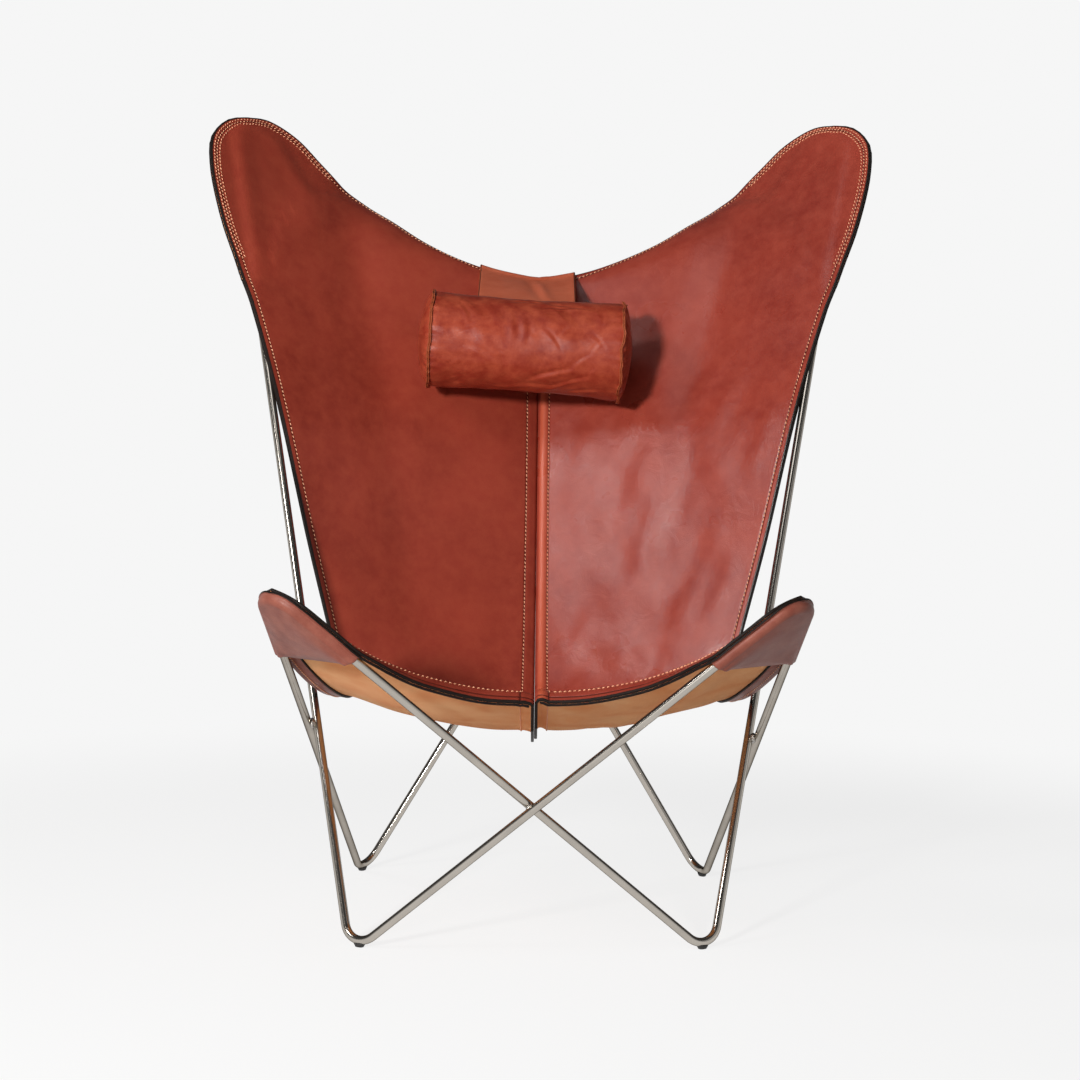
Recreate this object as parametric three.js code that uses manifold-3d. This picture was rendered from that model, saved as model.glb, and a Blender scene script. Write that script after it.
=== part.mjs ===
// Butterfly sling chair: two bent steel rod loops crossed and welded, a two-panel leather
// sling hung on their tops, and a counterweighted headrest roll. Millimetres, +Z up, -Y forward.
import * as THREE from 'three';
import { mergeGeometries, mergeVertices } from 'three/addons/utils/BufferGeometryUtils.js';
import Module from 'manifold-3d';

const wasm = await Module();
wasm.setup();

// Clearances
const seatGap = 0.3;
const rodClearance = 0.5;
const pocketClearance = 1.2;
const restGap = 0.5;
const cutOverrun = 12;

// Frame rod and the places where its centre line would meet at a sharp corner
const rodDiameter = 11;
const frontFootHalfSpan = 226;
const frontFootReach = 280;
const backFootReach = 211;
const footCornerDrop = 10;
const frontTopHalfSpan = 329;
const frontTopReach = 428;
const frontTopHeight = 468;
const wingTopHalfSpan = 471;
const wingTopReach = 352;
const wingTopHeight = 1180;
const footBendRadius = 28;
const frontTopBendRadius = 30;
const wingTopBendRadius = 38;

// Feet and welds
const glideThickness = 3;
const glideLength = 24;
const glideWidth = 14;
const glideHug = 5;
const weldRadius = 7;
const weldWeb = 0.4;

// Leather
const panelThickness = 4;
const pocketThickness = 3;
const strapThickness = 4;
const finFrontDepth = 36;
const finDepth = 16;
const finTopDepth = 11;
const flangeRun = 3;
const frontPocketMargin = 12;
const frontPocketFrontRun = 150;
const frontPocketBackRun = 163;
const wingPocketSideRun = 366;
const wingPocketTopRun = 272;
const wingBlend = 70;
const tipBlend = 45;

// How far the leather stays inside the rod below a wing, and how far it stands out beyond
// the rod up the wing's side, round its tip and down its top
const wingLowInset = 7;
const wingRisingMargin = 7;
const wingSideMouthMargin = 19;
const wingUpperMargin = 46;
const wingNearMargin = 52;
const wingSideShoulderMargin = 42;
const wingTipSideMargin = 22;
const wingTipCrestMargin = 14;
const wingTipTopMargin = 24;
const wingTopShoulderMargin = 46;
const wingTopNearMargin = 66;
const wingTopMouthMargin = 95;

// Headrest and counterweight
const headrestRadius = 67;
const headrestLength = 268;
const headrestCrown = 3;
const headrestDome = 15;
const headrestLip = 5;
const headrestLipWidth = 5;
const headrestAside = 18;
const headrestHeight = 760;
const headrestTilt = THREE.MathUtils.degToRad(3.3);
const coverThickness = 3;
const strapWidth = 140;
const strapHang = 28;
const strapJoint = 1;
const strapLean = THREE.MathUtils.degToRad(75);
const pouchTopHeight = 700;
const pouchHeight = 112;
const pouchDepth = 26;
const pouchCorner = 10;
const barWidth = 112;
const barHeight = 84;
const barDepth = 16;

// Facets
const rodSides = 16;
const bendSteps = 10;
const rollSides = 40;
const domeSteps = 5;

const rodRadius = rodDiameter / 2;

// Materials
function leather(color, roughness) {
  return new THREE.MeshStandardMaterial({ color, roughness, metalness: 0 });
}

function grainLeather() {
  return leather(0x7d3226, 0.42);
}

function edgeLeather() {
  return leather(0x6a4034, 0.55);
}

function pocketLeather() {
  return leather(0x8a5446, 0.5);
}

function headrestLeather() {
  return leather(0xb25b42, 0.6);
}

function polishedSteel() {
  return new THREE.MeshStandardMaterial({ color: 0xb9afa6, roughness: 0.22, metalness: 1 });
}

function rubber() {
  return new THREE.MeshStandardMaterial({ color: 0x121212, roughness: 0.7, metalness: 0 });
}

function foam() {
  return new THREE.MeshStandardMaterial({ color: 0xd8cfb8, roughness: 0.95, metalness: 0 });
}

// Vectors
function vec(x, y, z) {
  return new THREE.Vector3(x, y, z);
}

function step(point, direction, distance) {
  return point.clone().addScaledVector(direction, distance);
}

function between(start, end, share) {
  return start.clone().lerp(end, share);
}

function unit(from, to) {
  return to.clone().sub(from).normalize();
}

function smooth(share) {
  const held = Math.min(1, Math.max(0, share));
  return held * held * (3 - 2 * held);
}

// A named mesh
function mesh(name, geometry, material) {
  const item = new THREE.Mesh(geometry, material);
  item.name = name;
  return item;
}

// Booleans
function toManifold(geometry) {
  const plain = geometry.index ? geometry.toNonIndexed() : geometry.clone();
  plain.deleteAttribute('normal');
  plain.deleteAttribute('uv');
  const merged = mergeVertices(plain);
  return new wasm.Manifold(new wasm.Mesh({
    numProp: 3,
    vertProperties: new Float32Array(merged.attributes.position.array),
    triVerts: new Uint32Array(merged.index.array),
  }));
}

function toGeometry(manifold) {
  const result = manifold.getMesh();
  const geometry = new THREE.BufferGeometry();
  geometry.setAttribute('position', new THREE.BufferAttribute(result.vertProperties, 3));
  geometry.setIndex(new THREE.BufferAttribute(result.triVerts, 1));
  geometry.computeVertexNormals();
  return geometry;
}

function cut(geometry, tools) {
  let solid = toManifold(geometry);
  for (const tool of tools) {
    solid = solid.subtract(toManifold(tool));
  }
  return toGeometry(solid);
}

// Frame: where the corners of both loops lie. Crossing rods leave room for the weld between
const strandGap = rodDiameter + 2 * seatGap + weldWeb;

function frontFoot(side) {
  return vec(side * frontFootHalfSpan, -frontFootReach, -footCornerDrop);
}

function frontTop(side) {
  return vec(side * frontTopHalfSpan, -frontTopReach, frontTopHeight);
}

function wingTop(side) {
  return vec(side * wingTopHalfSpan, wingTopReach, wingTopHeight);
}

// Half the distance by which one loop stands in front of the other where they cross
function loopShift() {
  const rising = frontTop(1).sub(frontFoot(-1));
  const falling = frontTop(-1).sub(frontFoot(1));
  const apart = rising.cross(falling).normalize();
  return strandGap / Math.abs(apart.y) / 2;
}

const shift = loopShift();

// How far the rod to the back foot passes outside the rod to the wing on the same side, for a
// given place of the back foot. The right rod to a wing is set back and the left one forward.
function sideDistance(side, halfSpan) {
  const inner = frontFoot(1).setY(-frontFootReach + side * shift);
  const innerRun = wingTop(1).sub(frontFoot(1));
  const outer = frontTop(1).setY(-frontTopReach - side * shift);
  const outerRun = vec(halfSpan, backFootReach, -footCornerDrop).sub(frontTop(1));
  const apart = innerRun.cross(outerRun).normalize();
  return outer.sub(inner).dot(apart) * Math.sign(apart.x);
}

// A back foot stands just as wide as lets the side rods pass each other
function findBackFootHalfSpan(side) {
  let narrow = 0;
  let wide = wingTopHalfSpan + frontTopHalfSpan;
  for (let turn = 0; turn < 60; turn += 1) {
    const middle = (narrow + wide) / 2;
    if (sideDistance(side, middle) < strandGap) {
      narrow = middle;
    } else {
      wide = middle;
    }
  }
  return (narrow + wide) / 2;
}

const backFootHalfSpans = { '-1': findBackFootHalfSpan(-1), 1: findBackFootHalfSpan(1) };

function backFoot(side) {
  return vec(side * backFootHalfSpans[side], backFootReach, -footCornerDrop);
}

// A bend of one loop: its corner, the directions of the rods that leave it and its arc
function bendAt(corner, first, second, radius) {
  const a = unit(corner, first);
  const b = unit(corner, second);
  const middle = a.clone().add(b).normalize();
  const halfAngle = Math.acos(a.dot(middle));
  const reach = radius / Math.tan(halfAngle);
  const centre = step(corner, middle, radius / Math.sin(halfAngle));
  const outA = b.clone().addScaledVector(a, -a.dot(b)).normalize().negate();
  const outB = a.clone().addScaledVector(b, -a.dot(b)).normalize().negate();
  return { corner, a, b, middle, radius, reach, centre, outA, outB, sweep: Math.PI - 2 * halfAngle };
}

// A place on the arc of a bend, from the end of rod a (share 0) to the end of rod b (share 1)
function arcOut(bend, share) {
  const turn = bend.sweep * share;
  return bend.outA.clone().multiplyScalar(Math.cos(turn))
    .addScaledVector(bend.a, -Math.sin(turn));
}

class BendCurve extends THREE.Curve {
  constructor(bend) {
    super();
    this.bend = bend;
  }

  getPoint(share, target = new THREE.Vector3()) {
    return target.copy(step(this.bend.centre, arcOut(this.bend, share), this.bend.radius));
  }
}

function roundShape(radius) {
  const shape = new THREE.Shape();
  const turn = 2 * Math.PI / rodSides;
  for (let side = 0; side < rodSides; side += 1) {
    const x = radius * Math.cos(side * turn);
    const y = radius * Math.sin(side * turn);
    if (side === 0) {
      shape.moveTo(x, y);
    } else {
      shape.lineTo(x, y);
    }
  }
  shape.closePath();
  return shape;
}

function tube(curve, radius, steps) {
  return new THREE.ExtrudeGeometry(roundShape(radius), {
    extrudePath: curve,
    steps,
    bevelEnabled: false,
  });
}

// One loop: front foot, front top of the far side, back foot of the far side, wing top
function loopOf(side, setBack) {
  const away = vec(0, setBack, 0);
  const corners = [frontFoot(side), frontTop(-side), backFoot(-side), wingTop(side)];
  const radii = [footBendRadius, frontTopBendRadius, footBendRadius, wingTopBendRadius];
  corners.forEach((corner) => corner.add(away));
  return corners.map((corner, index) => {
    const before = corners[(index + corners.length - 1) % corners.length];
    const after = corners[(index + 1) % corners.length];
    return bendAt(corner, before, after, radii[index]);
  });
}

// Names of the loops by the side of their wing, which is side -1 for the left one
const sideNames = { '-1': 'left', 1: 'right' };
const loops = { '-1': loopOf(-1, -shift), 1: loopOf(1, shift) };
const cornerNames = ['front_foot', 'front_tip', 'back_foot', 'wing_tip'];
const runNames = ['front_rod', 'seat_side_rod', 'back_rod', 'wing_side_rod'];

function rodBetween(start, end, radius) {
  const length = start.distanceTo(end);
  const geometry = new THREE.CylinderGeometry(radius, radius, length, rodSides);
  const turn = new THREE.Quaternion().setFromUnitVectors(vec(0, 1, 0), unit(start, end));
  geometry.applyQuaternion(turn);
  const middle = between(start, end, 1 / 2);
  geometry.translate(middle.x, middle.y, middle.z);
  return geometry;
}

// The straight rod that follows bend number index of a loop, held back by end from both bends
function runEnds(loop, index, end) {
  const from = loop[index];
  const to = loop[(index + 1) % loop.length];
  return [step(from.corner, from.b, from.reach + end), step(to.corner, to.a, to.reach + end)];
}

function frameLoop(side) {
  const group = new THREE.Group();
  const loop = loops[side];
  loop.forEach((bend, index) => {
    const bendName = `${sideNames[side]}_loop_${cornerNames[index]}_bend`;
    group.add(mesh(bendName, tube(new BendCurve(bend), rodRadius, bendSteps), polishedSteel()));
    const [start, end] = runEnds(loop, index, seatGap);
    const runName = `${sideNames[side]}_loop_${runNames[index]}`;
    group.add(mesh(runName, rodBetween(start, end, rodRadius), polishedSteel()));
  });
  return group;
}

// Where two rods pass nearest to each other
function crossing(firstLoop, firstIndex, secondLoop, secondIndex) {
  const first = runEnds(firstLoop, firstIndex, 0);
  const second = runEnds(secondLoop, secondIndex, 0);
  const d1 = unit(first[0], first[1]);
  const d2 = unit(second[0], second[1]);
  const apart = first[0].clone().sub(second[0]);
  const cross = d1.dot(d2);
  const spread = 1 - cross * cross;
  const along1 = (cross * d2.dot(apart) - d1.dot(apart)) / spread;
  const along2 = (d2.dot(apart) - cross * d1.dot(apart)) / spread;
  const on1 = step(first[0], d1, along1);
  const on2 = step(second[0], d2, along2);
  return { on1, on2, d1, d2, middle: between(on1, on2, 1 / 2) };
}

function weld(name, cross) {
  const bead = new THREE.SphereGeometry(weldRadius, rodSides, rodSides / 2);
  bead.translate(cross.middle.x, cross.middle.y, cross.middle.z);
  const tools = [[cross.on1, cross.d1], [cross.on2, cross.d2]].map(([on, along]) => {
    const half = rodDiameter + cutOverrun;
    return rodBetween(step(on, along, -half), step(on, along, half), rodRadius + seatGap);
  });
  return mesh(name, cut(bead, tools), polishedSteel());
}

const crossings = {
  weld_front: crossing(loops[-1], 0, loops[1], 0),
  weld_back: crossing(loops[-1], 2, loops[1], 2),
  weld_side_left: crossing(loops[-1], 3, loops[1], 1),
  weld_side_right: crossing(loops[1], 3, loops[-1], 1),
};

function welds() {
  const group = new THREE.Group();
  for (const [name, cross] of Object.entries(crossings)) {
    group.add(weld(name, cross));
  }
  return group;
}

// Feet
function lowestPoint(bend) {
  const plane = bend.outA.clone().cross(bend.a).normalize();
  const down = vec(0, 0, -1);
  down.addScaledVector(plane, -down.dot(plane)).normalize();
  return step(bend.centre, down, bend.radius);
}

const footBends = {
  glide_front_left: loops[-1][0],
  glide_front_right: loops[1][0],
  glide_back_right: loops[-1][2],
  glide_back_left: loops[1][2],
};

const floorHeight = Math.min(...Object.values(footBends).map((bend) => lowestPoint(bend).z))
  - rodRadius - glideThickness;

function stadium(length, width) {
  const half = width / 2;
  const straight = length / 2 - half;
  const shape = new THREE.Shape();
  shape.absarc(straight, 0, half, -Math.PI / 2, Math.PI / 2, false);
  shape.absarc(-straight, 0, half, Math.PI / 2, 3 * Math.PI / 2, false);
  return shape;
}

function glide(name, bend) {
  const lowest = lowestPoint(bend);
  const height = lowest.z - rodRadius + glideHug - floorHeight;
  const pad = new THREE.ExtrudeGeometry(stadium(glideLength, glideWidth), {
    depth: height,
    bevelEnabled: false,
    curveSegments: rodSides / 2,
  });
  const along = bend.outA.clone().cross(bend.a).cross(vec(0, 0, 1)).normalize();
  pad.rotateZ(Math.atan2(along.y, along.x));
  pad.translate(lowest.x, lowest.y, floorHeight);
  const rods = [
    tube(new BendCurve(bend), rodRadius + seatGap, bendSteps),
    rodBetween(step(bend.corner, bend.a, bend.reach - seatGap),
      step(bend.corner, bend.a, bend.reach + cutOverrun), rodRadius + seatGap),
    rodBetween(step(bend.corner, bend.b, bend.reach - seatGap),
      step(bend.corner, bend.b, bend.reach + cutOverrun), rodRadius + seatGap),
  ];
  return mesh(name, cut(pad, rods), rubber());
}

function glides() {
  const group = new THREE.Group();
  for (const [name, bend] of Object.entries(footBends)) {
    group.add(glide(name, bend));
  }
  return group;
}

// Sling: its places are shares of the way from a front top to a wing top, of the half width
// there and of the height there
function slingPlace([along, across, up]) {
  const y = THREE.MathUtils.lerp(-frontTopReach, wingTopReach, along);
  const x = across * THREE.MathUtils.lerp(frontTopHalfSpan, wingTopHalfSpan, along);
  const z = up * THREE.MathUtils.lerp(frontTopHeight, wingTopHeight, along);
  return vec(x, y, z);
}

const seamShares = [
  [0.126, 0, 0.563], [0.159, 0, 0.554], [0.292, 0, 0.419], [0.433, 0, 0.323],
  [0.562, 0, 0.280], [0.671, 0, 0.295], [0.758, 0, 0.367], [0.836, 0, 0.475],
  [0.908, 0, 0.597], [0.940, 0, 0.646], [0.962, 0, 0.679], [0.976, 0, 0.701],
  [0.986, 0, 0.716], [0.992, 0, 0.725], [0.996, 0, 0.730], [1, 0, 0.734],
];
const sideShares = [
  [0.305, 0.779, 0.474], [0.446, 0.683, 0.375], [0.574, 0.648, 0.346],
  [0.590, 0.683, 0.414], [0.621, 0.753, 0.539],
];
const frontEdgeShares = [
  [0.126, 0, 0.563], [0.117, 0.174, 0.575], [0.100, 0.321, 0.610], [0.083, 0.434, 0.650],
];
const topEdgeShares = [
  [1, 0, 0.734], [1.006, 0.170, 0.740], [1.019, 0.353, 0.764], [1.031, 0.463, 0.785],
];

const wingSideRunShares = { low: 1.64, rising: 1.34, upper: 0.8, near: 0.56 };
const wingTopRunShares = { near: 0.73 };
const sheetLift = rodRadius + rodClearance + panelThickness / 2;

// A bend's frame for a pocket, with the normal on the side where the sling lies
function pocketFrame(bend, towards) {
  const normal = bend.outA.clone().cross(bend.a).normalize();
  if (normal.dot(towards) < 0) {
    normal.negate();
  }
  return { bend, normal };
}

// A place beside a rod or bend: rail 'a' or 'b' with a distance from the corner, or 'arc'
// with a share of the bend, and the margin outward
function besideRail(frame, rail, place, margin, lift) {
  const { bend, normal } = frame;
  let point;
  if (rail === 'arc') {
    point = step(bend.centre, arcOut(bend, place), bend.radius + margin);
  } else {
    const out = rail === 'a' ? bend.outA : bend.outB;
    point = step(step(bend.corner, bend[rail], place), out, margin);
  }
  return step(point, normal, lift);
}

// At a wing rod a comes from the back foot and rod b goes to the front foot. At a front tip
// rod a comes from the front foot and rod b goes to the back foot.
const wingSideRail = [
  ['b', wingPocketSideRun * wingSideRunShares.low, -wingLowInset],
  ['b', wingPocketSideRun * wingSideRunShares.rising, wingRisingMargin],
  ['b', wingPocketSideRun, wingSideMouthMargin],
  ['b', wingPocketSideRun * wingSideRunShares.upper, wingUpperMargin],
  ['b', wingPocketSideRun * wingSideRunShares.near, wingNearMargin],
  ['arc', 1, wingSideShoulderMargin],
  ['arc', 3 / 4, wingTipSideMargin],
  ['arc', 1 / 2, wingTipCrestMargin],
];
const wingTopRail = [
  ['a', wingPocketTopRun, wingTopMouthMargin],
  ['a', wingPocketTopRun * wingTopRunShares.near, wingTopNearMargin],
  ['arc', 0, wingTopShoulderMargin],
  ['arc', 1 / 4, wingTipTopMargin],
  ['arc', 1 / 2, wingTipCrestMargin],
];
const tipFrontRunShares = { middle: 0.68 };
const tipFrontRail = [
  ['a', frontPocketFrontRun, frontPocketMargin],
  ['a', frontPocketFrontRun * tipFrontRunShares.middle, frontPocketMargin],
  ['arc', 0, frontPocketMargin],
  ['arc', 1 / 2, frontPocketMargin],
];
const tipSideRail = [
  ['arc', 1 / 2, frontPocketMargin],
  ['arc', 1, frontPocketMargin],
  ['b', frontPocketBackRun, frontPocketMargin],
];

function curveThrough(points) {
  return new THREE.CatmullRomCurve3(points, false, 'centripetal');
}

// The line across a pocket where it opens, as its ends and the way to the tip
function mouthOf({ bend }, runA, runB) {
  const atA = step(bend.corner, bend.a, runA);
  const atB = step(bend.corner, bend.b, runB);
  const chord = unit(atA, atB);
  const inward = bend.corner.clone().sub(atA);
  inward.addScaledVector(chord, -inward.dot(chord)).normalize();
  return { atA, atB, chord, inward };
}

// A bend seen as part of the right half: one of the left half is mirrored
function asRight(bend, side) {
  const places = ['corner', 'a', 'b', 'middle', 'centre', 'outA', 'outB'];
  const turned = places.map((key) => [key, vec(side, 1, 1).multiply(bend[key])]);
  return { ...bend, ...Object.fromEntries(turned) };
}

// One half of the sling, worked out as if it were the right half. Its wing hangs on one
// loop and its front tip on the other, and the two loops stand one behind the other.
function halfOf(side) {
  const wing = pocketFrame(asRight(loops[side][3], side), vec(0, -1, 0));
  const tip = pocketFrame(asRight(loops[-side][1], side), vec(0, 0, 1));
  const onWing = ([rail, place, margin]) => besideRail(wing, rail, place, margin, sheetLift);
  const onTip = ([rail, place, margin]) => besideRail(tip, rail, place, margin, sheetLift);
  return {
    wing,
    tip,
    wingMouth: mouthOf(wing, wingPocketTopRun, wingPocketSideRun),
    tipMouth: mouthOf(tip, frontPocketFrontRun, frontPocketBackRun),
    seam: curveThrough(seamShares.map(slingPlace)),
    side: curveThrough([
      ...tipSideRail.map(onTip),
      ...sideShares.map(slingPlace),
      ...wingSideRail.map(onWing),
    ]),
    front: curveThrough([...frontEdgeShares.map(slingPlace), ...tipFrontRail.map(onTip)]),
    top: curveThrough([...topEdgeShares.map(slingPlace), ...wingTopRail.map(onWing)]),
  };
}

// Draws a point of the sheet onto a pocket's plane, starting a blend's length before the pocket
function drawn(point, frame, mouth, blend) {
  const beyond = point.clone().sub(mouth.atA).dot(mouth.inward);
  const height = point.clone().sub(frame.bend.corner).dot(frame.normal);
  const pull = smooth((beyond + blend) / blend);
  return step(point, frame.normal, pull * (sheetLift - height));
}

// How fast the shape of the front and the top edge dies away in the sheet
const frontFade = 4;
const topFade = 2;

// How far an edge curve departs from the straight line between its ends
function departure(curve, u) {
  return curve.getPointAt(u).sub(between(curve.getPoint(0), curve.getPoint(1), u));
}

// The middle surface of a half: u runs from the centre seam to the side, v from the front
// edge to the top edge
function sheetPoint(half, u, v) {
  const row = between(half.seam.getPoint(v), half.side.getPoint(v), u);
  row.addScaledVector(departure(half.front, u), (1 - v) ** frontFade);
  row.addScaledVector(departure(half.top, u), v ** topFade);
  if (u === 0) {
    return row;
  }
  return v < 1 / 2
    ? drawn(row, half.tip, half.tipMouth, tipBlend)
    : drawn(row, half.wing, half.wingMouth, wingBlend);
}

const acrossShares = [0, 0.07, 0.15, 0.23, 0.31, 0.39, 0.47, 0.55, 0.63, 0.71, 0.79, 0.87, 0.935, 1];
const lengthStations = seamShares.length - 1;
const stationSplits = 2;

function lengthShares() {
  const count = lengthStations * stationSplits;
  return Array.from({ length: count + 1 }, (_, index) => index / count);
}

// Unit normals of a grid of points, from the neighbours of each point
function gridNormals(grid) {
  return grid.map((row, i) => row.map((_, j) => {
    const alongRow = grid[i][Math.min(j + 1, row.length - 1)].clone()
      .sub(grid[i][Math.max(j - 1, 0)]);
    const alongColumn = grid[Math.min(i + 1, grid.length - 1)][j].clone()
      .sub(grid[Math.max(i - 1, 0)][j]);
    return alongRow.cross(alongColumn).normalize();
  }));
}

function sheetOf(side) {
  const half = halfOf(side);
  const grid = lengthShares().map((v) => acrossShares.map((u) => sheetPoint(half, u, v)));
  return { half, grid, normals: gridNormals(grid) };
}

const sheets = { '-1': sheetOf(-1), 1: sheetOf(1) };

function lifted(grid, normals, lift) {
  return grid.map((row, i) => row.map((point, j) => step(point, normals[i][j], lift)));
}

// A closed solid between two grids of points with the same rows and columns
function slab(upper, lower) {
  const rows = upper.length;
  const columns = upper[0].length;
  const points = [...upper.flat(), ...lower.flat()];
  const at = (level, i, j) => level * rows * columns + i * columns + j;
  const faces = [];
  const quad = (a, b, c, d) => faces.push([a, b, c], [a, c, d]);
  for (let i = 0; i < rows - 1; i += 1) {
    for (let j = 0; j < columns - 1; j += 1) {
      quad(at(0, i, j), at(0, i, j + 1), at(0, i + 1, j + 1), at(0, i + 1, j));
      quad(at(1, i, j), at(1, i + 1, j), at(1, i + 1, j + 1), at(1, i, j + 1));
    }
  }
  for (let i = 0; i < rows - 1; i += 1) {
    quad(at(0, i, 0), at(0, i + 1, 0), at(1, i + 1, 0), at(1, i, 0));
    const last = columns - 1;
    quad(at(0, i + 1, last), at(0, i, last), at(1, i, last), at(1, i + 1, last));
  }
  for (let j = 0; j < columns - 1; j += 1) {
    quad(at(0, 0, j + 1), at(0, 0, j), at(1, 0, j), at(1, 0, j + 1));
    const last = rows - 1;
    quad(at(0, last, j), at(0, last, j + 1), at(1, last, j + 1), at(1, last, j));
  }
  return solidOf(points, faces);
}

function volumeOf(points, faces) {
  return faces.reduce((sum, [a, b, c]) => (
    sum + points[a].dot(points[b].clone().cross(points[c])) / 6
  ), 0);
}

// Geometry from points and faces, turned so that its faces look outward
function solidOf(points, faces) {
  const outward = volumeOf(points, faces) > 0;
  const corners = faces.flatMap(([a, b, c]) => (outward ? [a, b, c] : [a, c, b]));
  const geometry = new THREE.BufferGeometry().setFromPoints(points);
  geometry.setIndex(corners);
  geometry.computeVertexNormals();
  return geometry;
}

function mirrored(grid, side) {
  return grid.map((row) => row.map((point) => vec(side * point.x, point.y, point.z)));
}

// How deep the turned-down seam margin hangs at each row
const finFrontShare = 0.14;

function finAt(v) {
  const back = THREE.MathUtils.lerp(finDepth, finTopDepth, v);
  return THREE.MathUtils.lerp(finFrontDepth, back, smooth(v / finFrontShare));
}

// A panel with its seam margin turned down beside the centre line
function panel(side) {
  const half = panelThickness / 2;
  const shares = lengthShares();
  const { grid, normals } = sheets[side];
  const upper = lifted(grid, normals, half);
  const lower = lifted(grid, normals, -half);
  const inner = seatGap / 2;
  const outer = inner + panelThickness;
  shares.forEach((v, i) => {
    const seamNormal = normals[i][0].clone().setX(0).normalize();
    const crease = grid[i][0];
    const foot = step(crease, seamNormal, -half - finAt(v));
    upper[i][0] = step(crease, seamNormal, half).setX(inner);
    lower[i][0] = step(crease, seamNormal, -half).setX(outer);
    upper[i].unshift(foot.clone().setX(inner));
    lower[i].unshift(foot.clone().setX(outer));
  });
  return slab(mirrored(upper, side), mirrored(lower, side));
}

// Where the hems lie, as shares of the way across a panel and along it
const frontHemShares = { across: [0.05, 0.5], along: [0, 0.07] };
const sideHemShares = { across: [0.86, 1], along: [0.23, 0.54] };
const topHemShares = { across: [0.05, 0.6], along: [0.93, 1] };

// A part of a grid of places across and along a panel that lies within the given shares
function partWithin(grid, { across, along }) {
  const rows = grid.filter((row, i) => isWithin(lengthShares()[i], along));
  return rows.map((row) => row.filter((point, j) => isWithin(acrossShares[j], across)));
}

function isWithin(share, [start, end]) {
  return share >= start && share <= end;
}

// A hem strip under part of the sheet
function hem(side, shares) {
  const { grid, normals } = sheets[side];
  const topLift = -panelThickness / 2 - seatGap;
  const upper = partWithin(lifted(grid, normals, topLift), shares);
  const lower = partWithin(lifted(grid, normals, topLift - panelThickness), shares);
  return slab(mirrored(upper, side), mirrored(lower, side));
}

// A pocket sewn to the sheet beyond a rod and wrapped round its far side
function pocket(side, frame, mouth, stations) {
  const { bend, normal } = frame;
  const half = pocketThickness / 2;
  const wrap = rodRadius + pocketClearance + half;
  const flangeLift = sheetLift - panelThickness / 2 - seatGap - half;
  const diagonal = wrap * Math.SQRT1_2;
  const grid = stations.map(({ rail, place, margin, share, skew }) => {
    const onRail = besideRail(frame, rail, place, 0, 0);
    let out = rail === 'arc' ? arcOut(bend, place) : bend[rail === 'a' ? 'outA' : 'outB'];
    const straight = out;
    if (skew !== 0) {
      const alongMouth = mouth.chord.clone().multiplyScalar(rail === 'a' ? -1 : 1);
      out = between(out, alongMouth, skew).normalize();
    }
    const stretch = 1 / out.dot(straight);
    const beside = (distance, lift) => step(step(onRail, out, distance * stretch), normal, lift);
    const innerStart = step(mouth.atA, mouth.chord, rodDiameter);
    const innerEnd = step(mouth.atB, mouth.chord, -rodDiameter);
    const inner = step(between(innerStart, innerEnd, share), normal, -wrap);
    const under = beside(0, -wrap);
    return [
      beside(Math.max(margin, wrap + flangeRun), flangeLift),
      beside(wrap + flangeRun / 2, flangeLift),
      beside(wrap, flangeLift - flangeRun),
      beside(wrap, 0),
      beside(diagonal, -diagonal),
      under,
      between(under, inner, 1 / 3),
      between(under, inner, 2 / 3),
      inner,
    ];
  });
  const normals = gridNormals(grid);
  return slab(
    mirrored(lifted(grid, normals, half), side),
    mirrored(lifted(grid, normals, -half), side),
  );
}

// Stations round a pocket's rail with finer steps between the given places
function railStations(places, splits) {
  const stations = [];
  const spans = places.length - 1;
  places.forEach(([rail, place, margin], index) => {
    const share = index / spans;
    const skew = index === 0 || index === spans ? 1 : 0;
    stations.push({ rail, place, margin, share, skew });
    const next = places[index + 1];
    const sameRail = next && next[0] === rail;
    for (let split = 1; sameRail && split < splits; split += 1) {
      const part = split / splits;
      const fade = index === 0 ? 1 - part : part;
      const edge = index === 0 || index + 1 === spans;
      stations.push({
        rail,
        place: THREE.MathUtils.lerp(place, next[1], part),
        margin: THREE.MathUtils.lerp(margin, next[2], part),
        share: (index + part) / spans,
        skew: edge ? fade : 0,
      });
    }
  });
  return stations;
}

const pocketSplits = 2;

function wingPocket(side) {
  const { wing, wingMouth } = sheets[side].half;
  const places = [
    wingTopRail[0],
    wingTopRail[1],
    ['a', wing.bend.reach, wingTopShoulderMargin],
    ...wingTopRail.slice(2),
    ...wingSideRail.slice(5, -1).reverse(),
    ['b', wing.bend.reach, wingSideShoulderMargin],
    ...wingSideRail.slice(2, 5).reverse(),
  ];
  return pocket(side, wing, wingMouth, railStations(places, pocketSplits));
}

function frontPocket(side) {
  const { tip, tipMouth } = sheets[side].half;
  const places = [
    ...tipFrontRail.slice(0, 2),
    ['a', tip.bend.reach, frontPocketMargin],
    ...tipFrontRail.slice(2),
    tipSideRail[1],
    ['b', tip.bend.reach, frontPocketMargin],
    tipSideRail[2],
  ];
  return pocket(side, tip, tipMouth, railStations(places, 2 * pocketSplits));
}

function sling() {
  const group = new THREE.Group();
  for (const side of [-1, 1]) {
    const name = sideNames[side];
    group.add(mesh(`sling_panel_${name}`, panel(side), grainLeather()));
    group.add(mesh(`wing_pocket_${name}`, wingPocket(side), pocketLeather()));
    group.add(mesh(`front_pocket_${name}`, frontPocket(side), pocketLeather()));
    group.add(mesh(`front_hem_${name}`, hem(side, frontHemShares), edgeLeather()));
    group.add(mesh(`side_hem_${name}`, hem(side, sideHemShares), edgeLeather()));
    group.add(mesh(`top_hem_${name}`, hem(side, topHemShares), edgeLeather()));
  }
  return group;
}

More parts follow.
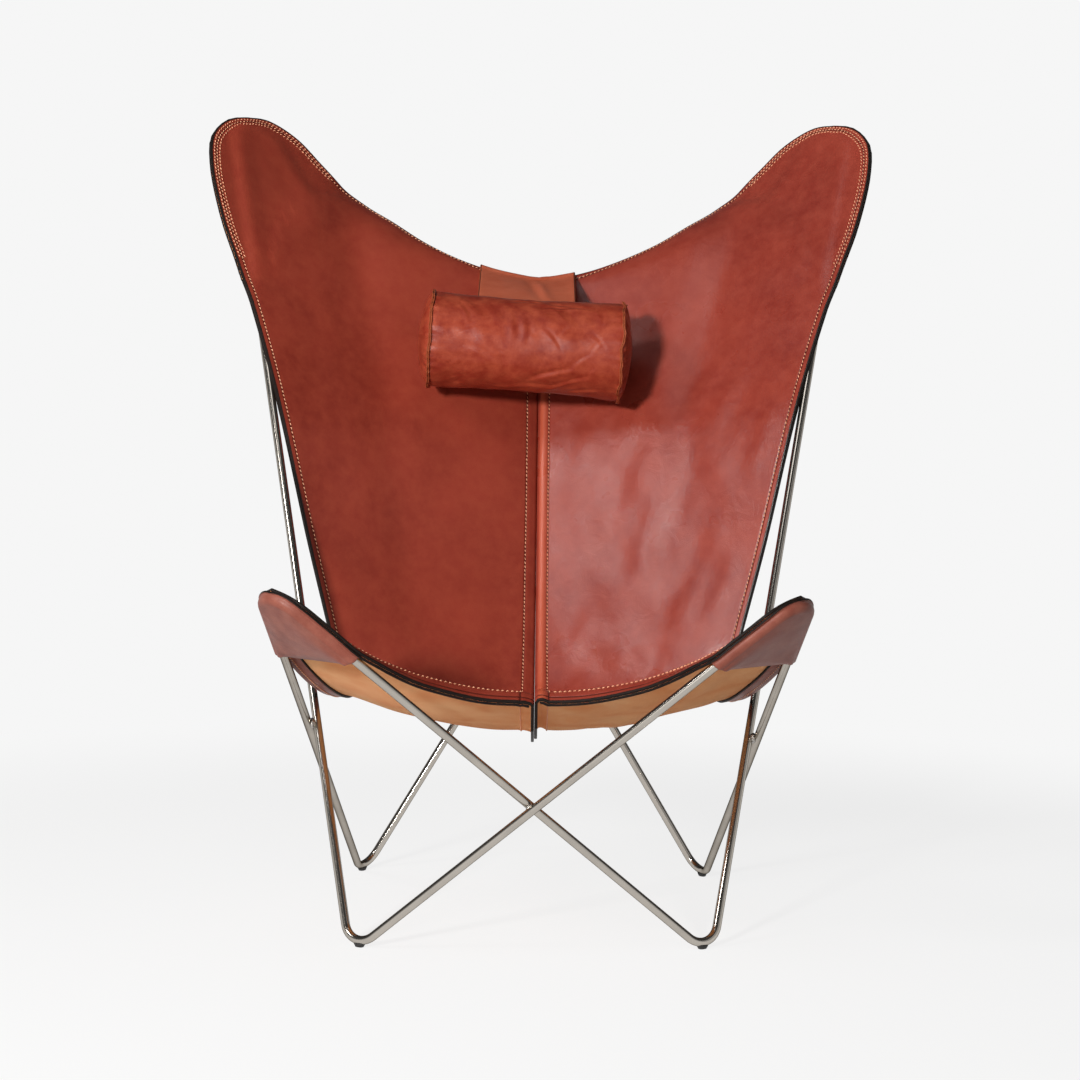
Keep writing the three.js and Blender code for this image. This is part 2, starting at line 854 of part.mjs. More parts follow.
// Headrest roll, lying along its own X
function crownRadius(share) {
  return headrestRadius - headrestCrown + headrestCrown * (1 - share * share);
}

// How far the roll reaches from its axis at a distance along it, with its raised end lips and
// its domed ends
function rollReach(along) {
  const half = headrestLength / 2;
  const domeStart = half + seatGap + headrestLipWidth;
  if (along > domeStart) {
    const rise = Math.min(1, (along - domeStart) / (headrestDome - headrestLipWidth));
    return crownRadius(1) * Math.sqrt(1 - rise * rise);
  }
  return along > half ? crownRadius(1) + headrestLip : crownRadius(along / half);
}

// Points spread over a four-sided patch of the sheet, which folds along one diagonal
function patchPoints([a, b, c, d], splits) {
  const points = [];
  for (let i = 0; i <= splits; i += 1) {
    for (let j = 0; j <= i; j += 1) {
      const first = i / splits;
      const second = j / splits;
      points.push(between(a, b, first).add(between(a, c, second)).sub(between(a, b, second)));
      points.push(between(a, d, first).add(between(a, c, second)).sub(between(a, d, second)));
    }
  }
  return points;
}

function patchesOf(grid) {
  return grid.slice(1).flatMap((row, i) => row.slice(1).map((point, j) => (
    [grid[i][j], grid[i][j + 1], point, row[j]]
  )));
}

const patchSplits = 8;

// The roll lies back until only the rest gap is left between it and the panels
function findHeadrestSetBack() {
  const axis = vec(Math.cos(headrestTilt), 0, -Math.sin(headrestTilt));
  const start = vec(-headrestAside, 0, headrestHeight);
  const places = [-1, 1].flatMap((side) => {
    const { grid, normals } = sheets[side];
    const face = mirrored(lifted(grid, normals, panelThickness / 2), side);
    return patchesOf(face).flatMap((patch) => patchPoints(patch, patchSplits));
  });
  return Math.min(...places.map((place) => {
    const away = place.clone().setY(0).sub(start);
    const along = away.dot(axis);
    const aside = away.addScaledVector(axis, -along).length();
    const radius = rollReach(Math.abs(along));
    const reach = radius + restGap;
    const met = radius > 0 && aside < reach;
    return met ? place.y - Math.sqrt(reach * reach - aside * aside) : Infinity;
  }));
}

const headrestSetBack = findHeadrestSetBack();

function rollGeometry(profile) {
  const geometry = new THREE.LatheGeometry(profile, rollSides);
  geometry.rotateZ(-Math.PI / 2);
  return geometry;
}

function headrestCover() {
  const steps = [-1, -2 / 3, -1 / 3, 0, 1 / 3, 2 / 3, 1];
  const half = headrestLength / 2;
  const outer = steps.map((share) => new THREE.Vector2(crownRadius(share), share * half));
  const inner = steps.map((share) => (
    new THREE.Vector2(crownRadius(share) - coverThickness, share * half)
  )).reverse();
  return mesh('headrest_cover', rollGeometry([...outer, ...inner, outer[0]]), headrestLeather());
}

function headrestCore() {
  const half = headrestLength / 2 - seatGap;
  const radius = crownRadius(1) - coverThickness - seatGap;
  const profile = [
    new THREE.Vector2(0, -half),
    new THREE.Vector2(radius, -half),
    new THREE.Vector2(radius + headrestCrown, 0),
    new THREE.Vector2(radius, half),
    new THREE.Vector2(0, half),
  ];
  return mesh('headrest_core', rollGeometry(profile), foam());
}

function headrestEnd(name, side) {
  const base = headrestLength / 2 + seatGap;
  const lip = crownRadius(1) + headrestLip;
  const profile = [new THREE.Vector2(0, base), new THREE.Vector2(lip, base)];
  profile.push(new THREE.Vector2(lip, base + headrestLipWidth));
  for (let index = 1; index <= domeSteps; index += 1) {
    const turn = index / domeSteps * Math.PI / 2;
    profile.push(new THREE.Vector2(
      crownRadius(1) * Math.cos(turn),
      base + headrestLipWidth + (headrestDome - headrestLipWidth) * Math.sin(turn),
    ));
  }
  profile[profile.length - 1].x = 0;
  const geometry = rollGeometry(profile);
  if (side < 0) {
    geometry.rotateY(Math.PI);
  }
  return mesh(name, geometry, headrestLeather());
}

function headrest() {
  const group = new THREE.Group();
  group.add(headrestCover());
  group.add(headrestCore());
  group.add(headrestEnd('headrest_end_left', -1));
  group.add(headrestEnd('headrest_end_right', 1));
  group.position.set(-headrestAside, headrestSetBack, headrestHeight);
  group.rotation.y = headrestTilt;
  return group;
}

// Strap: grids of points across its width, along a path that follows the sling's top edge
const topEdgeLine = sheets[1].grid[lengthShares().length - 1];
const notch = topEdgeLine[0];

// The place on the top edge at a distance x from the middle
function topEdgeAt(x) {
  const reach = Math.abs(x);
  const next = topEdgeLine.findIndex((point) => point.x >= reach);
  const end = topEdgeLine[Math.max(next, 1)];
  const start = topEdgeLine[Math.max(next, 1) - 1];
  const share = (reach - start.x) / (end.x - start.x);
  return between(start, end, share);
}

const strapAcrossShares = [0, 1 / 6, 1 / 3, 1 / 2, 2 / 3, 5 / 6, 1];
const crestLift = strapThickness / 2 + panelThickness / 2 + seatGap;

function strapColumns() {
  return strapAcrossShares.map((share) => -headrestAside + strapWidth * (share - 1 / 2));
}

// The way over the top edge, as shares of the hang behind the edge and above it
const overShares = [
  [-0.43, -0.18], [-0.18, -0.02], [0.07, 0.01], [0.39, 0], [0.71, -0.21], [0.93, -0.57], [1, -1],
];

function overPoint(x, [behind, above]) {
  const edge = topEdgeAt(x);
  const y = THREE.MathUtils.lerp(edge.y, notch.y, smooth(behind)) + behind * strapHang;
  return vec(x, y, edge.z + crestLift + above * strapHang);
}

// Where the strap meets the roll, a little behind the top of it
function rollTopPoint(x) {
  const clear = headrestRadius + seatGap + strapThickness / 2;
  const drop = (x + headrestAside) * Math.sin(headrestTilt);
  const y = headrestSetBack + clear * Math.cos(strapLean);
  return vec(x, y, headrestHeight - drop + clear * Math.sin(strapLean));
}

function strapSlab(grid) {
  const normals = gridNormals(grid);
  const half = strapThickness / 2;
  return slab(lifted(grid, normals, half), lifted(grid, normals, -half));
}

function strapOver() {
  const grid = overShares.map((place) => strapColumns().map((x) => overPoint(x, place)));
  return mesh('strap_over_top', strapSlab(grid), headrestLeather());
}

function strapFront() {
  const grid = [0, 1 / 3, 2 / 3, 1].map((share) => strapColumns().map((x) => {
    const top = overPoint(x, overShares[0]);
    const low = rollTopPoint(x);
    const run = unit(top, low);
    return between(step(top, run, strapJoint), low, share);
  }));
  return mesh('strap_front', strapSlab(grid), headrestLeather());
}

const hangY = notch.y + strapHang;

function strapRear() {
  const low = pouchTopHeight + seatGap;
  const grid = [0, 1 / 2, 1].map((share) => strapColumns().map((x) => {
    const top = overPoint(x, overShares[overShares.length - 1]);
    const start = vec(x, hangY, top.z - strapJoint);
    return between(start, vec(x, hangY, low), share);
  }));
  return mesh('strap_rear', strapSlab(grid), headrestLeather());
}

// Counterweight: a pouch with a slot open at the top and a steel bar inside it
function roundedBox(width, height, depth, corner) {
  const x = width / 2;
  const y = height / 2;
  const shape = new THREE.Shape();
  shape.moveTo(-x + corner, -y);
  shape.lineTo(x - corner, -y);
  shape.absarc(x - corner, -y + corner, corner, -Math.PI / 2, 0, false);
  shape.lineTo(x, y);
  shape.lineTo(-x, y);
  shape.lineTo(-x, -y + corner);
  shape.absarc(-x + corner, -y + corner, corner, Math.PI, 3 * Math.PI / 2, false);
  const geometry = new THREE.ExtrudeGeometry(shape, { depth, bevelEnabled: false, curveSegments: 5 });
  geometry.translate(0, 0, -depth / 2);
  geometry.rotateX(Math.PI / 2);
  return geometry;
}

function counterweight() {
  const group = new THREE.Group();
  const pouch = roundedBox(strapWidth, pouchHeight, pouchDepth, pouchCorner);
  const room = seatGap * 2;
  const wall = (pouchDepth - barDepth - room) / 2;
  const slotHeight = pouchHeight - wall + cutOverrun;
  const slot = new THREE.BoxGeometry(barWidth + room, barDepth + room, slotHeight);
  slot.translate(0, 0, wall + slotHeight / 2 - pouchHeight / 2);
  group.add(mesh('counterweight_pouch', cut(pouch, [slot]), headrestLeather()));
  const bar = new THREE.BoxGeometry(barWidth, barDepth, barHeight);
  bar.translate(0, 0, wall + seatGap + barHeight / 2 - pouchHeight / 2);
  group.add(mesh('counterweight_bar', bar, polishedSteel()));
  group.position.set(-headrestAside, hangY, pouchTopHeight - pouchHeight / 2);
  return group;
}

function chair() {
  const group = new THREE.Group();
  group.add(frameLoop(-1));
  group.add(frameLoop(1));
  group.add(welds());
  group.add(glides());
  group.add(sling());
  group.add(headrest());
  group.add(strapOver());
  group.add(strapFront());
  group.add(strapRear());
  group.add(counterweight());
  return group;
}

// The chair stands on the floor with its middle over the origin
const part = new THREE.Group();
const body = chair();
part.add(body);
part.updateMatrixWorld(true);
const bounds = new THREE.Box3().setFromObject(body, true);
const middle = bounds.getCenter(new THREE.Vector3());
body.position.set(-middle.x, -middle.y, -bounds.min.z);
part.updateMatrixWorld(true);

export default part;
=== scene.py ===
"""Looks of the butterfly sling chair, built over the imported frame. Metres, +Z up, -Y the front.

The sling follows the same shares of the loops' corners as the part's source. The loops'
corners, bends and places are read from the frame's rods, so the looks follow the frame.
"""

import math

import bpy
import numpy as np
from mathutils import Matrix, Vector
from mathutils.bvhtree import BVHTree
from mathutils.kdtree import KDTree

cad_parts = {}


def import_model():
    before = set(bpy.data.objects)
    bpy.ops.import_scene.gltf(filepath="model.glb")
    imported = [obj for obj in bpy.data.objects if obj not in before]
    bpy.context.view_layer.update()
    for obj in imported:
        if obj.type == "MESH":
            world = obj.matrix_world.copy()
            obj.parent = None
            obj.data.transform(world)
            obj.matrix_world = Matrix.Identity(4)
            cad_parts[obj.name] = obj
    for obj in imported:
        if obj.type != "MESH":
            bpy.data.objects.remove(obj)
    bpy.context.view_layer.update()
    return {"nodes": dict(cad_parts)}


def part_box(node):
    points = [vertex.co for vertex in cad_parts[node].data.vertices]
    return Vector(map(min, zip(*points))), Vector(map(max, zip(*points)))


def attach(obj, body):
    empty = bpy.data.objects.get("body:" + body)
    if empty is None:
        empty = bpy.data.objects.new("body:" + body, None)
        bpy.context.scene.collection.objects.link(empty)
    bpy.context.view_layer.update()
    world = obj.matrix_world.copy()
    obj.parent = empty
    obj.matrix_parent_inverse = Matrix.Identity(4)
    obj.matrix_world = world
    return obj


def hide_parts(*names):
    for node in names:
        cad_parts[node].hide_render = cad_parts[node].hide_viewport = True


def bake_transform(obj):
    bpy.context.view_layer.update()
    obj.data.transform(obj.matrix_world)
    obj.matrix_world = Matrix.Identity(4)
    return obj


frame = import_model()

MM = 0.001
SIDES = {-1: "left", 1: "right"}

# Rods, leather and the room between them
ROD_RADIUS = 5.5 * MM
PANEL = 4 * MM
POCKET = 3 * MM
HEM = 3.6 * MM
STRAP = 4 * MM
ROD_CLEARANCE = 0.5 * MM
POCKET_CLEARANCE = 1.2 * MM
SEAT_GAP = 0.3 * MM
SEWN_GAP = 0.2 * MM
EDGE_STEP = 1.5 * MM
POCKET_SKEW = 0.16
POCKET_SAG = 2.5 * MM

# Sling places: shares of the way from a front corner to a wing corner, of the half width
# there and of the height there
SEAM_SHARES = [
    (0.126, 0, 0.563), (0.159, 0, 0.554), (0.292, 0, 0.419), (0.433, 0, 0.323),
    (0.562, 0, 0.280), (0.671, 0, 0.295), (0.758, 0, 0.367), (0.836, 0, 0.475),
    (0.908, 0, 0.597), (0.940, 0, 0.646), (0.962, 0, 0.679), (0.976, 0, 0.701),
    (0.986, 0, 0.716), (0.992, 0, 0.7245), (0.9955, 0, 0.7285),
]
SIDE_SHARES = [
    (0.305, 0.779, 0.474), (0.446, 0.683, 0.375), (0.574, 0.648, 0.346),
    (0.590, 0.683, 0.414), (0.621, 0.753, 0.539),
]
FRONT_EDGE_SHARES = [
    (0.126, 0, 0.563), (0.117, 0.174, 0.575), (0.100, 0.321, 0.610), (0.083, 0.434, 0.650),
]
TOP_EDGE_SHARES = [
    (0.9955, 0, 0.7285), (1.005, 0.170, 0.7395), (1.019, 0.353, 0.764), (1.031, 0.463, 0.785),
]
FRONT_MARGIN = 12 * MM
FRONT_RUN = 150 * MM
BACK_RUN = 163 * MM
WING_SIDE_RUN = 366 * MM
WING_TOP_RUN = 272 * MM
WING_SIDE_RAIL = [(1.64, -7), (1.34, 7), (1.0, 29), (0.8, 45), (0.56, 52)]
WING_TOP_RAIL = [(1.0, 95), (0.73, 66)]
WING_CREST = ("arc", 1 / 2, 14 * MM)
SIDE_SHOULDER = 42 * MM
TOP_SHOULDER = 46 * MM
WING_BLEND = 85 * MM
TIP_BLEND = 50 * MM
TIP_END, WING_START, PULL_FADE = 0.17, 0.50, 0.09
FRONT_FADE = 4
TOP_FADE = 2


def unit(v):
    return v / np.linalg.norm(v)


def units(v):
    return v / (np.linalg.norm(v, axis=-1, keepdims=True) + 1e-12)


def smooth(t):
    t = np.clip(t, 0, 1)
    return t * t * (3 - 2 * t)


def hump(x, width):
    return np.exp(-(x / width) ** 2)


def waves(x, y, seed, length, count=7):
    """A soft field of crossing waves about as long as length, from -1 to 1."""
    pick = np.random.RandomState(seed)
    total = np.zeros(np.broadcast(x, y).shape)
    for _ in range(count):
        turn, start = pick.uniform(0, 2 * math.pi, 2)
        pace = 2 * math.pi / (length * pick.uniform(0.7, 1.5))
        total = total + np.sin((x * math.cos(turn) + y * math.sin(turn)) * pace + start)
    return total / count ** 0.5 / 1.4


def run_lengths(line):
    """The length run along a line up to each of its points."""
    return np.concatenate([[0], np.cumsum(np.linalg.norm(np.diff(line, axis=0), axis=1))])


def spaced(at, lengths, values):
    """Points or normals of a line at given lengths along it."""
    return np.stack([np.interp(at, lengths, values[:, k]) for k in range(3)], -1)


def mirrored(p, side):
    """Points of the right half carried to a side, or back from it."""
    return p * np.array([side, 1, 1])


def node_box(node):
    """The lower and the upper corner of a CAD node."""
    return tuple(np.array(corner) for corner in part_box(node))


def given(obj, body, slot, *nodes):
    """Gives a piece its body and hides the nodes that it stands for; its slot is not used."""
    if body:
        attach(obj, body)
    if nodes:
        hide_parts(*nodes)
    return obj


# The loops, read from the frame


def rod_ends(node):
    """Centres of the two ends of a straight CAD rod."""
    co = np.array([v.co for v in frame["nodes"][node].data.vertices], float)
    co = np.unique(np.round(co, 5), axis=0)
    centre = co.mean(0)
    along = (co - centre) @ np.linalg.svd(co - centre)[2][0]
    return co[along < 0].mean(0), co[along > 0].mean(0)


def meeting(p, d, q, e):
    """The point nearest to two lines."""
    n = np.cross(d, e)
    s = np.linalg.solve(np.array([d, -e, n]).T, q - p)
    return p + d * s[0] + n * s[2] / 2


def loop_bends(name):
    """The four bends of a loop in order: front foot, front tip, back foot, wing tip."""
    runs = ["front_rod", "seat_side_rod", "back_rod", "wing_side_rod"]
    ends = [rod_ends(f"{name}_loop_{run}") for run in runs]
    for i in range(4):
        before = np.array(ends[i - 1]).mean(0)
        if np.linalg.norm(ends[i][0] - before) > np.linalg.norm(ends[i][1] - before):
            ends[i] = ends[i][::-1]
    bends = []
    for i in range(4):
        into, out = ends[i - 1], ends[i]
        a = unit(into[0] - into[1])
        b = unit(out[1] - out[0])
        corner = meeting(into[1], a, out[0], b)
        half = math.acos(float(a @ b)) / 2
        reach = float(np.linalg.norm(out[0] - corner)) - SEAT_GAP
        radius = reach * math.tan(half)
        bends.append({
            "corner": corner, "a": a, "b": b, "radius": radius, "reach": reach,
            "centre": corner + unit(a + b) * radius / math.sin(half),
            "out_a": -unit(b - a * (a @ b)), "out_b": -unit(a - b * (a @ b)),
            "sweep": math.pi - 2 * half,
        })
    return bends


LOOPS = {side: loop_bends(name) for side, name in SIDES.items()}


def arc_out(bend, share):
    turn = bend["sweep"] * share
    return bend["out_a"] * math.cos(turn) - bend["a"] * math.sin(turn)


def as_right(bend, side):
    """A bend seen as part of the right half: one of the left half is mirrored."""
    keys = ("corner", "a", "b", "centre", "out_a", "out_b")
    return {**bend, **{k: mirrored(bend[k], side) for k in keys}}


# Curves through points, centripetal


class Spline:
    COUNT = 1200

    def __init__(self, points):
        self.points = np.array(points, float)
        self.fine = np.array([self.at(t) for t in np.linspace(0, 1, self.COUNT + 1)])
        self.lengths = run_lengths(self.fine)

    def at(self, t):
        p = self.points
        spans = len(p) - 1
        i = min(int(t * spans), spans - 1)
        w = t * spans - i
        before = p[i - 1] if i > 0 else 2 * p[0] - p[1]
        after = p[i + 2] if i + 2 <= spans else 2 * p[-1] - p[-2]
        d0, d1, d2 = (max(np.linalg.norm(d) ** 0.5, 1e-6)
                      for d in (p[i] - before, p[i + 1] - p[i], after - p[i + 1]))
        t1 = (p[i] - before) / d0 - (p[i + 1] - before) / (d0 + d1) + (p[i + 1] - p[i]) / d1
        t2 = (p[i + 1] - p[i]) / d1 - (after - p[i]) / (d1 + d2) + (after - p[i + 1]) / d2
        t1, t2 = t1 * d1, t2 * d1
        c2 = -3 * p[i] + 3 * p[i + 1] - 2 * t1 - t2
        c3 = 2 * p[i] - 2 * p[i + 1] + t1 + t2
        return p[i] + t1 * w + c2 * w * w + c3 * w ** 3

    def many(self, t):
        """Points for a table of shares of the parameter."""
        x = np.clip(np.asarray(t, float), 0, 1) * self.COUNT
        i = np.minimum(x.astype(int), self.COUNT - 1)
        w = (x - i)[..., None]
        return self.fine[i] * (1 - w) + self.fine[i + 1] * w

    def share_at_length(self, length):
        return np.interp(length, self.lengths, np.linspace(0, 1, self.COUNT + 1))

    def departure(self, u):
        """How far the curve leaves the straight line between its ends."""
        on = self.many(self.share_at_length(np.asarray(u) * self.lengths[-1]))
        u3 = np.asarray(u)[..., None]
        return on - (self.points[0] * (1 - u3) + self.points[-1] * u3)


# One half of the sling, worked out as if it were the right half


def beside(pocket, rail, place, margin, lift):
    """A point beside a pocket's rod: on its bend (arc) or on a straight run (a or b)."""
    bend, normal = pocket["bend"], pocket["normal"]
    if rail == "arc":
        point = bend["centre"] + arc_out(bend, place) * (bend["radius"] + margin)
    else:
        point = bend["corner"] + bend[rail] * place + bend["out_" + rail] * margin
    return point + normal * lift


def pocket_frame(bend, towards, run_a, run_b):
    """The plane of a pocket, the two ends of its mouth and the way in towards the bend."""
    normal = unit(np.cross(bend["out_a"], bend["a"]))
    if normal @ towards < 0:
        normal = -normal
    at_a = bend["corner"] + bend["a"] * run_a
    at_b = bend["corner"] + bend["b"] * run_b
    chord = unit(at_b - at_a)
    inward = bend["corner"] - at_a
    inward = unit(inward - chord * (inward @ chord))
    return {"bend": bend, "normal": normal, "at_a": at_a, "at_b": at_b,
            "chord": chord, "inward": inward}


SHEET_LIFT = ROD_RADIUS + ROD_CLEARANCE + PANEL / 2
FRONT_CORNER = (mirrored(LOOPS[-1][1]["corner"], 1) + mirrored(LOOPS[1][1]["corner"], -1)) / 2
WING_CORNER = (mirrored(LOOPS[1][3]["corner"], 1) + mirrored(LOOPS[-1][3]["corner"], -1)) / 2


def sling_place(shares):
    """A point of the sling from its three shares."""
    along, across, up = shares
    span = FRONT_CORNER + (WING_CORNER - FRONT_CORNER) * along
    return np.array([across * span[0], span[1], up * span[2]])


class Half:
    """The middle surface of one half: u from the seam to the side, v from front to top."""

    def __init__(self, side):
        self.wing = pocket_frame(as_right(LOOPS[side][3], side), np.array([0, -1, 0]),
                                 WING_TOP_RUN, WING_SIDE_RUN)
        self.tip = pocket_frame(as_right(LOOPS[-side][1], side), np.array([0, 0, 1]),
                                FRONT_RUN, BACK_RUN)
        wing_side = [("b", WING_SIDE_RUN * s, m * MM) for s, m in WING_SIDE_RAIL]
        wing_side += [("arc", 1, SIDE_SHOULDER), ("arc", 3 / 4, 22 * MM), WING_CREST]
        wing_top = [("a", WING_TOP_RUN * s, m * MM) for s, m in WING_TOP_RAIL]
        wing_top += [("arc", 0, TOP_SHOULDER), ("arc", 1 / 4, 24 * MM), WING_CREST]
        tip_front = [("a", FRONT_RUN), ("a", FRONT_RUN * 0.68), ("arc", 0), ("arc", 1 / 2)]
        tip_side = [("arc", 1 / 2), ("arc", 1), ("b", BACK_RUN)]

        def rail(pocket, places, *margin):
            return [beside(pocket, *place, *margin, SHEET_LIFT) for place in places]

        def spread(shares):
            return [sling_place(share) for share in shares]

        self.seam = Spline(spread(SEAM_SHARES))
        self.edge = Spline([*rail(self.tip, tip_side, FRONT_MARGIN), *spread(SIDE_SHARES),
                            *rail(self.wing, wing_side)])
        self.front = Spline([*spread(FRONT_EDGE_SHARES),
                             *rail(self.tip, tip_front, FRONT_MARGIN)])
        self.top = Spline([*spread(TOP_EDGE_SHARES), *rail(self.wing, wing_top)])

    @staticmethod
    def drawn(point, pocket, blend, share):
        """Points drawn onto a pocket's plane, fully from its mouth line on."""
        beyond = (point - pocket["at_a"]) @ pocket["inward"]
        height = (point - pocket["bend"]["corner"]) @ pocket["normal"]
        pull = smooth((beyond + 0.12 * blend) / blend) * (SHEET_LIFT - height) * share
        return point + pocket["normal"] * pull[..., None]

    def at(self, u, v):
        u, v = np.broadcast_arrays(np.asarray(u, float), np.asarray(v, float))
        u3, v3 = u[..., None], v[..., None]
        p = self.seam.many(v) * (1 - u3) + self.edge.many(v) * u3
        p = p + self.front.departure(u) * (1 - v3) ** FRONT_FADE
        p = p + self.top.departure(u) * v3 ** TOP_FADE
        on = self.drawn(p, self.tip, TIP_BLEND, 1 - smooth((v - TIP_END) / PULL_FADE))
        on = self.drawn(on, self.wing, WING_BLEND, smooth((v - WING_START) / PULL_FADE))
        return np.where(u3 > 1e-9, on, p)


def grid_normals(g):
    """Normals of a grid of points, from the steps across it and along it."""
    steps = []
    for turned in (g.swapaxes(0, 1), g):
        step = np.empty_like(turned)
        step[1:-1] = turned[2:] - turned[:-2]
        step[0], step[-1] = turned[1] - turned[0], turned[-1] - turned[-2]
        steps.append(step)
    return units(np.cross(steps[0].swapaxes(0, 1), steps[1]))


# Meshes


class Build:
    """Vertices and faces of one mesh, with a material number for each face."""

    def __init__(self):
        self.points, self.faces, self.kinds = [], [], []

    def add(self, points):
        start = len(self.points)
        self.points.extend(np.asarray(points, float).reshape(-1, 3).tolist())
        return start

    def ring(self, points):
        """Adds points and gives their numbers."""
        start = self.add(points)
        return list(range(start, len(self.points)))

    def capped(self, rings):
        """A tube through rings of points, closed by a flat cap at each end."""
        index = [self.ring(points) for points in rings]
        self.grid(index, around=True)
        self.faces += [tuple(index[0][::-1]), tuple(index[-1])]
        self.kinds += [0, 0]
        return self

    def grid(self, index, kind=0, flip=False, around=False):
        index = np.asarray(index)
        if around:
            index = np.concatenate([index, index[:, :1]], axis=1)
        a, b = index[:-1, :-1], index[:-1, 1:]
        c, d = index[1:, 1:], index[1:, :-1]
        quads = np.stack([a, b, c, d][::-1 if flip else 1], axis=-1).reshape(-1, 4)
        self.faces.extend(quads.tolist())
        self.kinds.extend([kind] * len(quads))

    def object(self, name, materials):
        mesh = bpy.data.meshes.new(name)
        mesh.from_pydata(self.points, [], self.faces)
        for material in materials:
            mesh.materials.append(material)
        mesh.polygons.foreach_set("material_index", self.kinds)
        mesh.polygons.foreach_set("use_smooth", [True] * len(self.faces))
        mesh.update()
        obj = bpy.data.objects.new(name, mesh)
        bpy.context.collection.objects.link(obj)
        return outward(obj)


def outward(obj):
    """Turns the faces of a closed mesh outward."""
    mesh = obj.data
    mesh.calc_loop_triangles()
    co = np.empty(len(mesh.vertices) * 3)
    mesh.vertices.foreach_get("co", co)
    co = co.reshape(-1, 3)
    tri = np.empty(len(mesh.loop_triangles) * 3, dtype=np.int64)
    mesh.loop_triangles.foreach_get("vertices", tri)
    a, b, c = (co[tri.reshape(-1, 3)[:, k]] for k in range(3))
    if (a * np.cross(b, c)).sum() < 0:
        mesh.flip_normals()
    return obj


def attribute(obj, name, values):
    layer = obj.data.attributes.new(name, "FLOAT", "POINT")
    layer.data.foreach_set("value", np.asarray(values, dtype=np.float32).ravel())


def uv_map(obj, coords):
    """A UV map in metres from one pair per vertex."""
    layer = obj.data.uv_layers.new(name="flat")
    loops = np.empty(len(obj.data.loops), dtype=np.int32)
    obj.data.loops.foreach_get("vertex_index", loops)
    layer.data.foreach_set("uv", np.asarray(coords, dtype=np.float32)[loops].ravel())


def shell(name, middle, normals, half, materials, fields, bulge=0.8 * MM, rings=3):
    """A sheet of real thickness round a grid of middle points, with rounded edges. Its top,
    underside and edge take the first, second and third material."""
    rows, cols = middle.shape[:2]
    halves = np.broadcast_to(half, (rows, cols))[..., None]
    number = np.arange(rows * cols).reshape(rows, cols)
    rim = np.concatenate([number[0, :-1], number[:-1, -1], number[-1, :0:-1], number[:0:-1, 0]])
    build = Build()
    at_top = build.add(middle + normals * halves)
    at_low = build.add(middle - normals * halves)
    build.grid(number + at_top, 0)
    build.grid(number + at_low, 1, flip=True)
    m, n, h = (k.reshape(rows * cols, -1)[rim] for k in (middle, normals, halves))
    along = units(np.roll(m, -1, 0) - np.roll(m, 1, 0))
    out = units(np.cross(along, n))
    if (out * (m - m.mean(0))).sum() < 0:
        out = -out
    levels = [rim + at_top]
    for k in range(1, rings + 1):
        turn = math.pi * (1 / 2 - k / (rings + 1))
        levels.append(build.ring(m + n * h * math.sin(turn) + out * bulge * math.cos(turn)))
    build.grid(np.array([*levels, rim + at_low]), 2, flip=True, around=True)
    obj = build.object(name, materials)
    for key, values in fields.items():
        values = np.asarray(values, float).reshape(rows * cols, -1)
        spread = np.concatenate([values, values] + [values[rim]] * rings)
        if key == "flat":
            uv_map(obj, spread)
        else:
            attribute(obj, key, spread[:, 0])
    return obj


def flat_coords(middle):
    """Distances across and along a grid of points, in metres."""
    x = np.stack([run_lengths(row) for row in middle])
    return np.stack([x, np.broadcast_to(run_lengths(middle[:, 0])[:, None], x.shape)], -1)


# Panels

NEAR = np.array([0, 1.5, 4, 7, 10.5, 14.5, 19, 24, 30, 37]) * MM
SEAM_LAYER = 2.15 * MM
ROLL_RADIUS = 3.4 * MM
SEAM_STITCH = 17.6 * MM
SEAM_COLUMNS = np.array([7, 8.6, 10.3, 12, 13.8, 15.8, 17.6, 19.2, 21, 22.8]) * MM
SEAM_ROW = 7
# In mm: height, place beyond the roll and width of the puff beside the seam
SEAM_PUFF = {-1: (-2.6, -3.4, 8.5), 1: (3.4, 3.0, 7.2)}
# Slow swells of the leather: height and length in mm, seed, and whether the seat alone has it
SWELLS = {-1: ((0.6, 120, 5, True), (0.7, 160, 9, False)),
          1: ((2.0, 110, 7, True), (0.8, 48, 11, True), (0.8, 170, 13, False))}
# How far the leather sinks past the rod's outside and inside, in mm, on wing and tip
DROPS = ((4.2, 2.0), (2.6, 1.5))
DROP_RUNS = (17 * MM, 34 * MM)
# Where the pockets' pull on the leather starts before the mouth line, and how long it grows
PULL_START, PULL_RUN, PULL_REACH = 35 * MM, 45 * MM, 6 * MM
# The swells fade over these runs from the border and from the seam
CALM_BORDER, CALM_SEAM, SEAM_FLAT = 60 * MM, 50 * MM, 8 * MM
WING_RAIL_ON, TIP_RAIL_ON = 60 * MM, 40 * MM
FIN_FRONT, FIN_BACK, FIN_TOP, FIN_FADE = 36 * MM, 16 * MM, 11 * MM, 0.14
X_AXIS = np.array([1.0, 0, 0])


def fin_depth(v):
    """How far the turned-down margin hangs under the seam."""
    back = FIN_BACK + (FIN_TOP - FIN_BACK) * v
    return FIN_FRONT + (back - FIN_FRONT) * smooth(v / FIN_FADE)


def rail_path(pocket, run_a, run_b, step=3 * MM):
    """The rod's centre line round a pocket, as points and outward directions."""
    bend = pocket["bend"]
    reach, points, outs = bend["reach"], [], []

    def straight(rail, start, stop, run):
        for d in np.linspace(start, stop, max(2, int((run - reach) / step))):
            points.append(bend["corner"] + bend[rail] * d)
            outs.append(bend["out_" + rail])

    straight("a", run_a, reach, run_a)
    for share in np.linspace(0, 1, max(3, int(bend["radius"] * bend["sweep"] / step)))[1:-1]:
        outs.append(arc_out(bend, share))
        points.append(bend["centre"] + outs[-1] * bend["radius"])
    straight("b", reach, run_b, run_b)
    return np.array(points), np.array(outs)


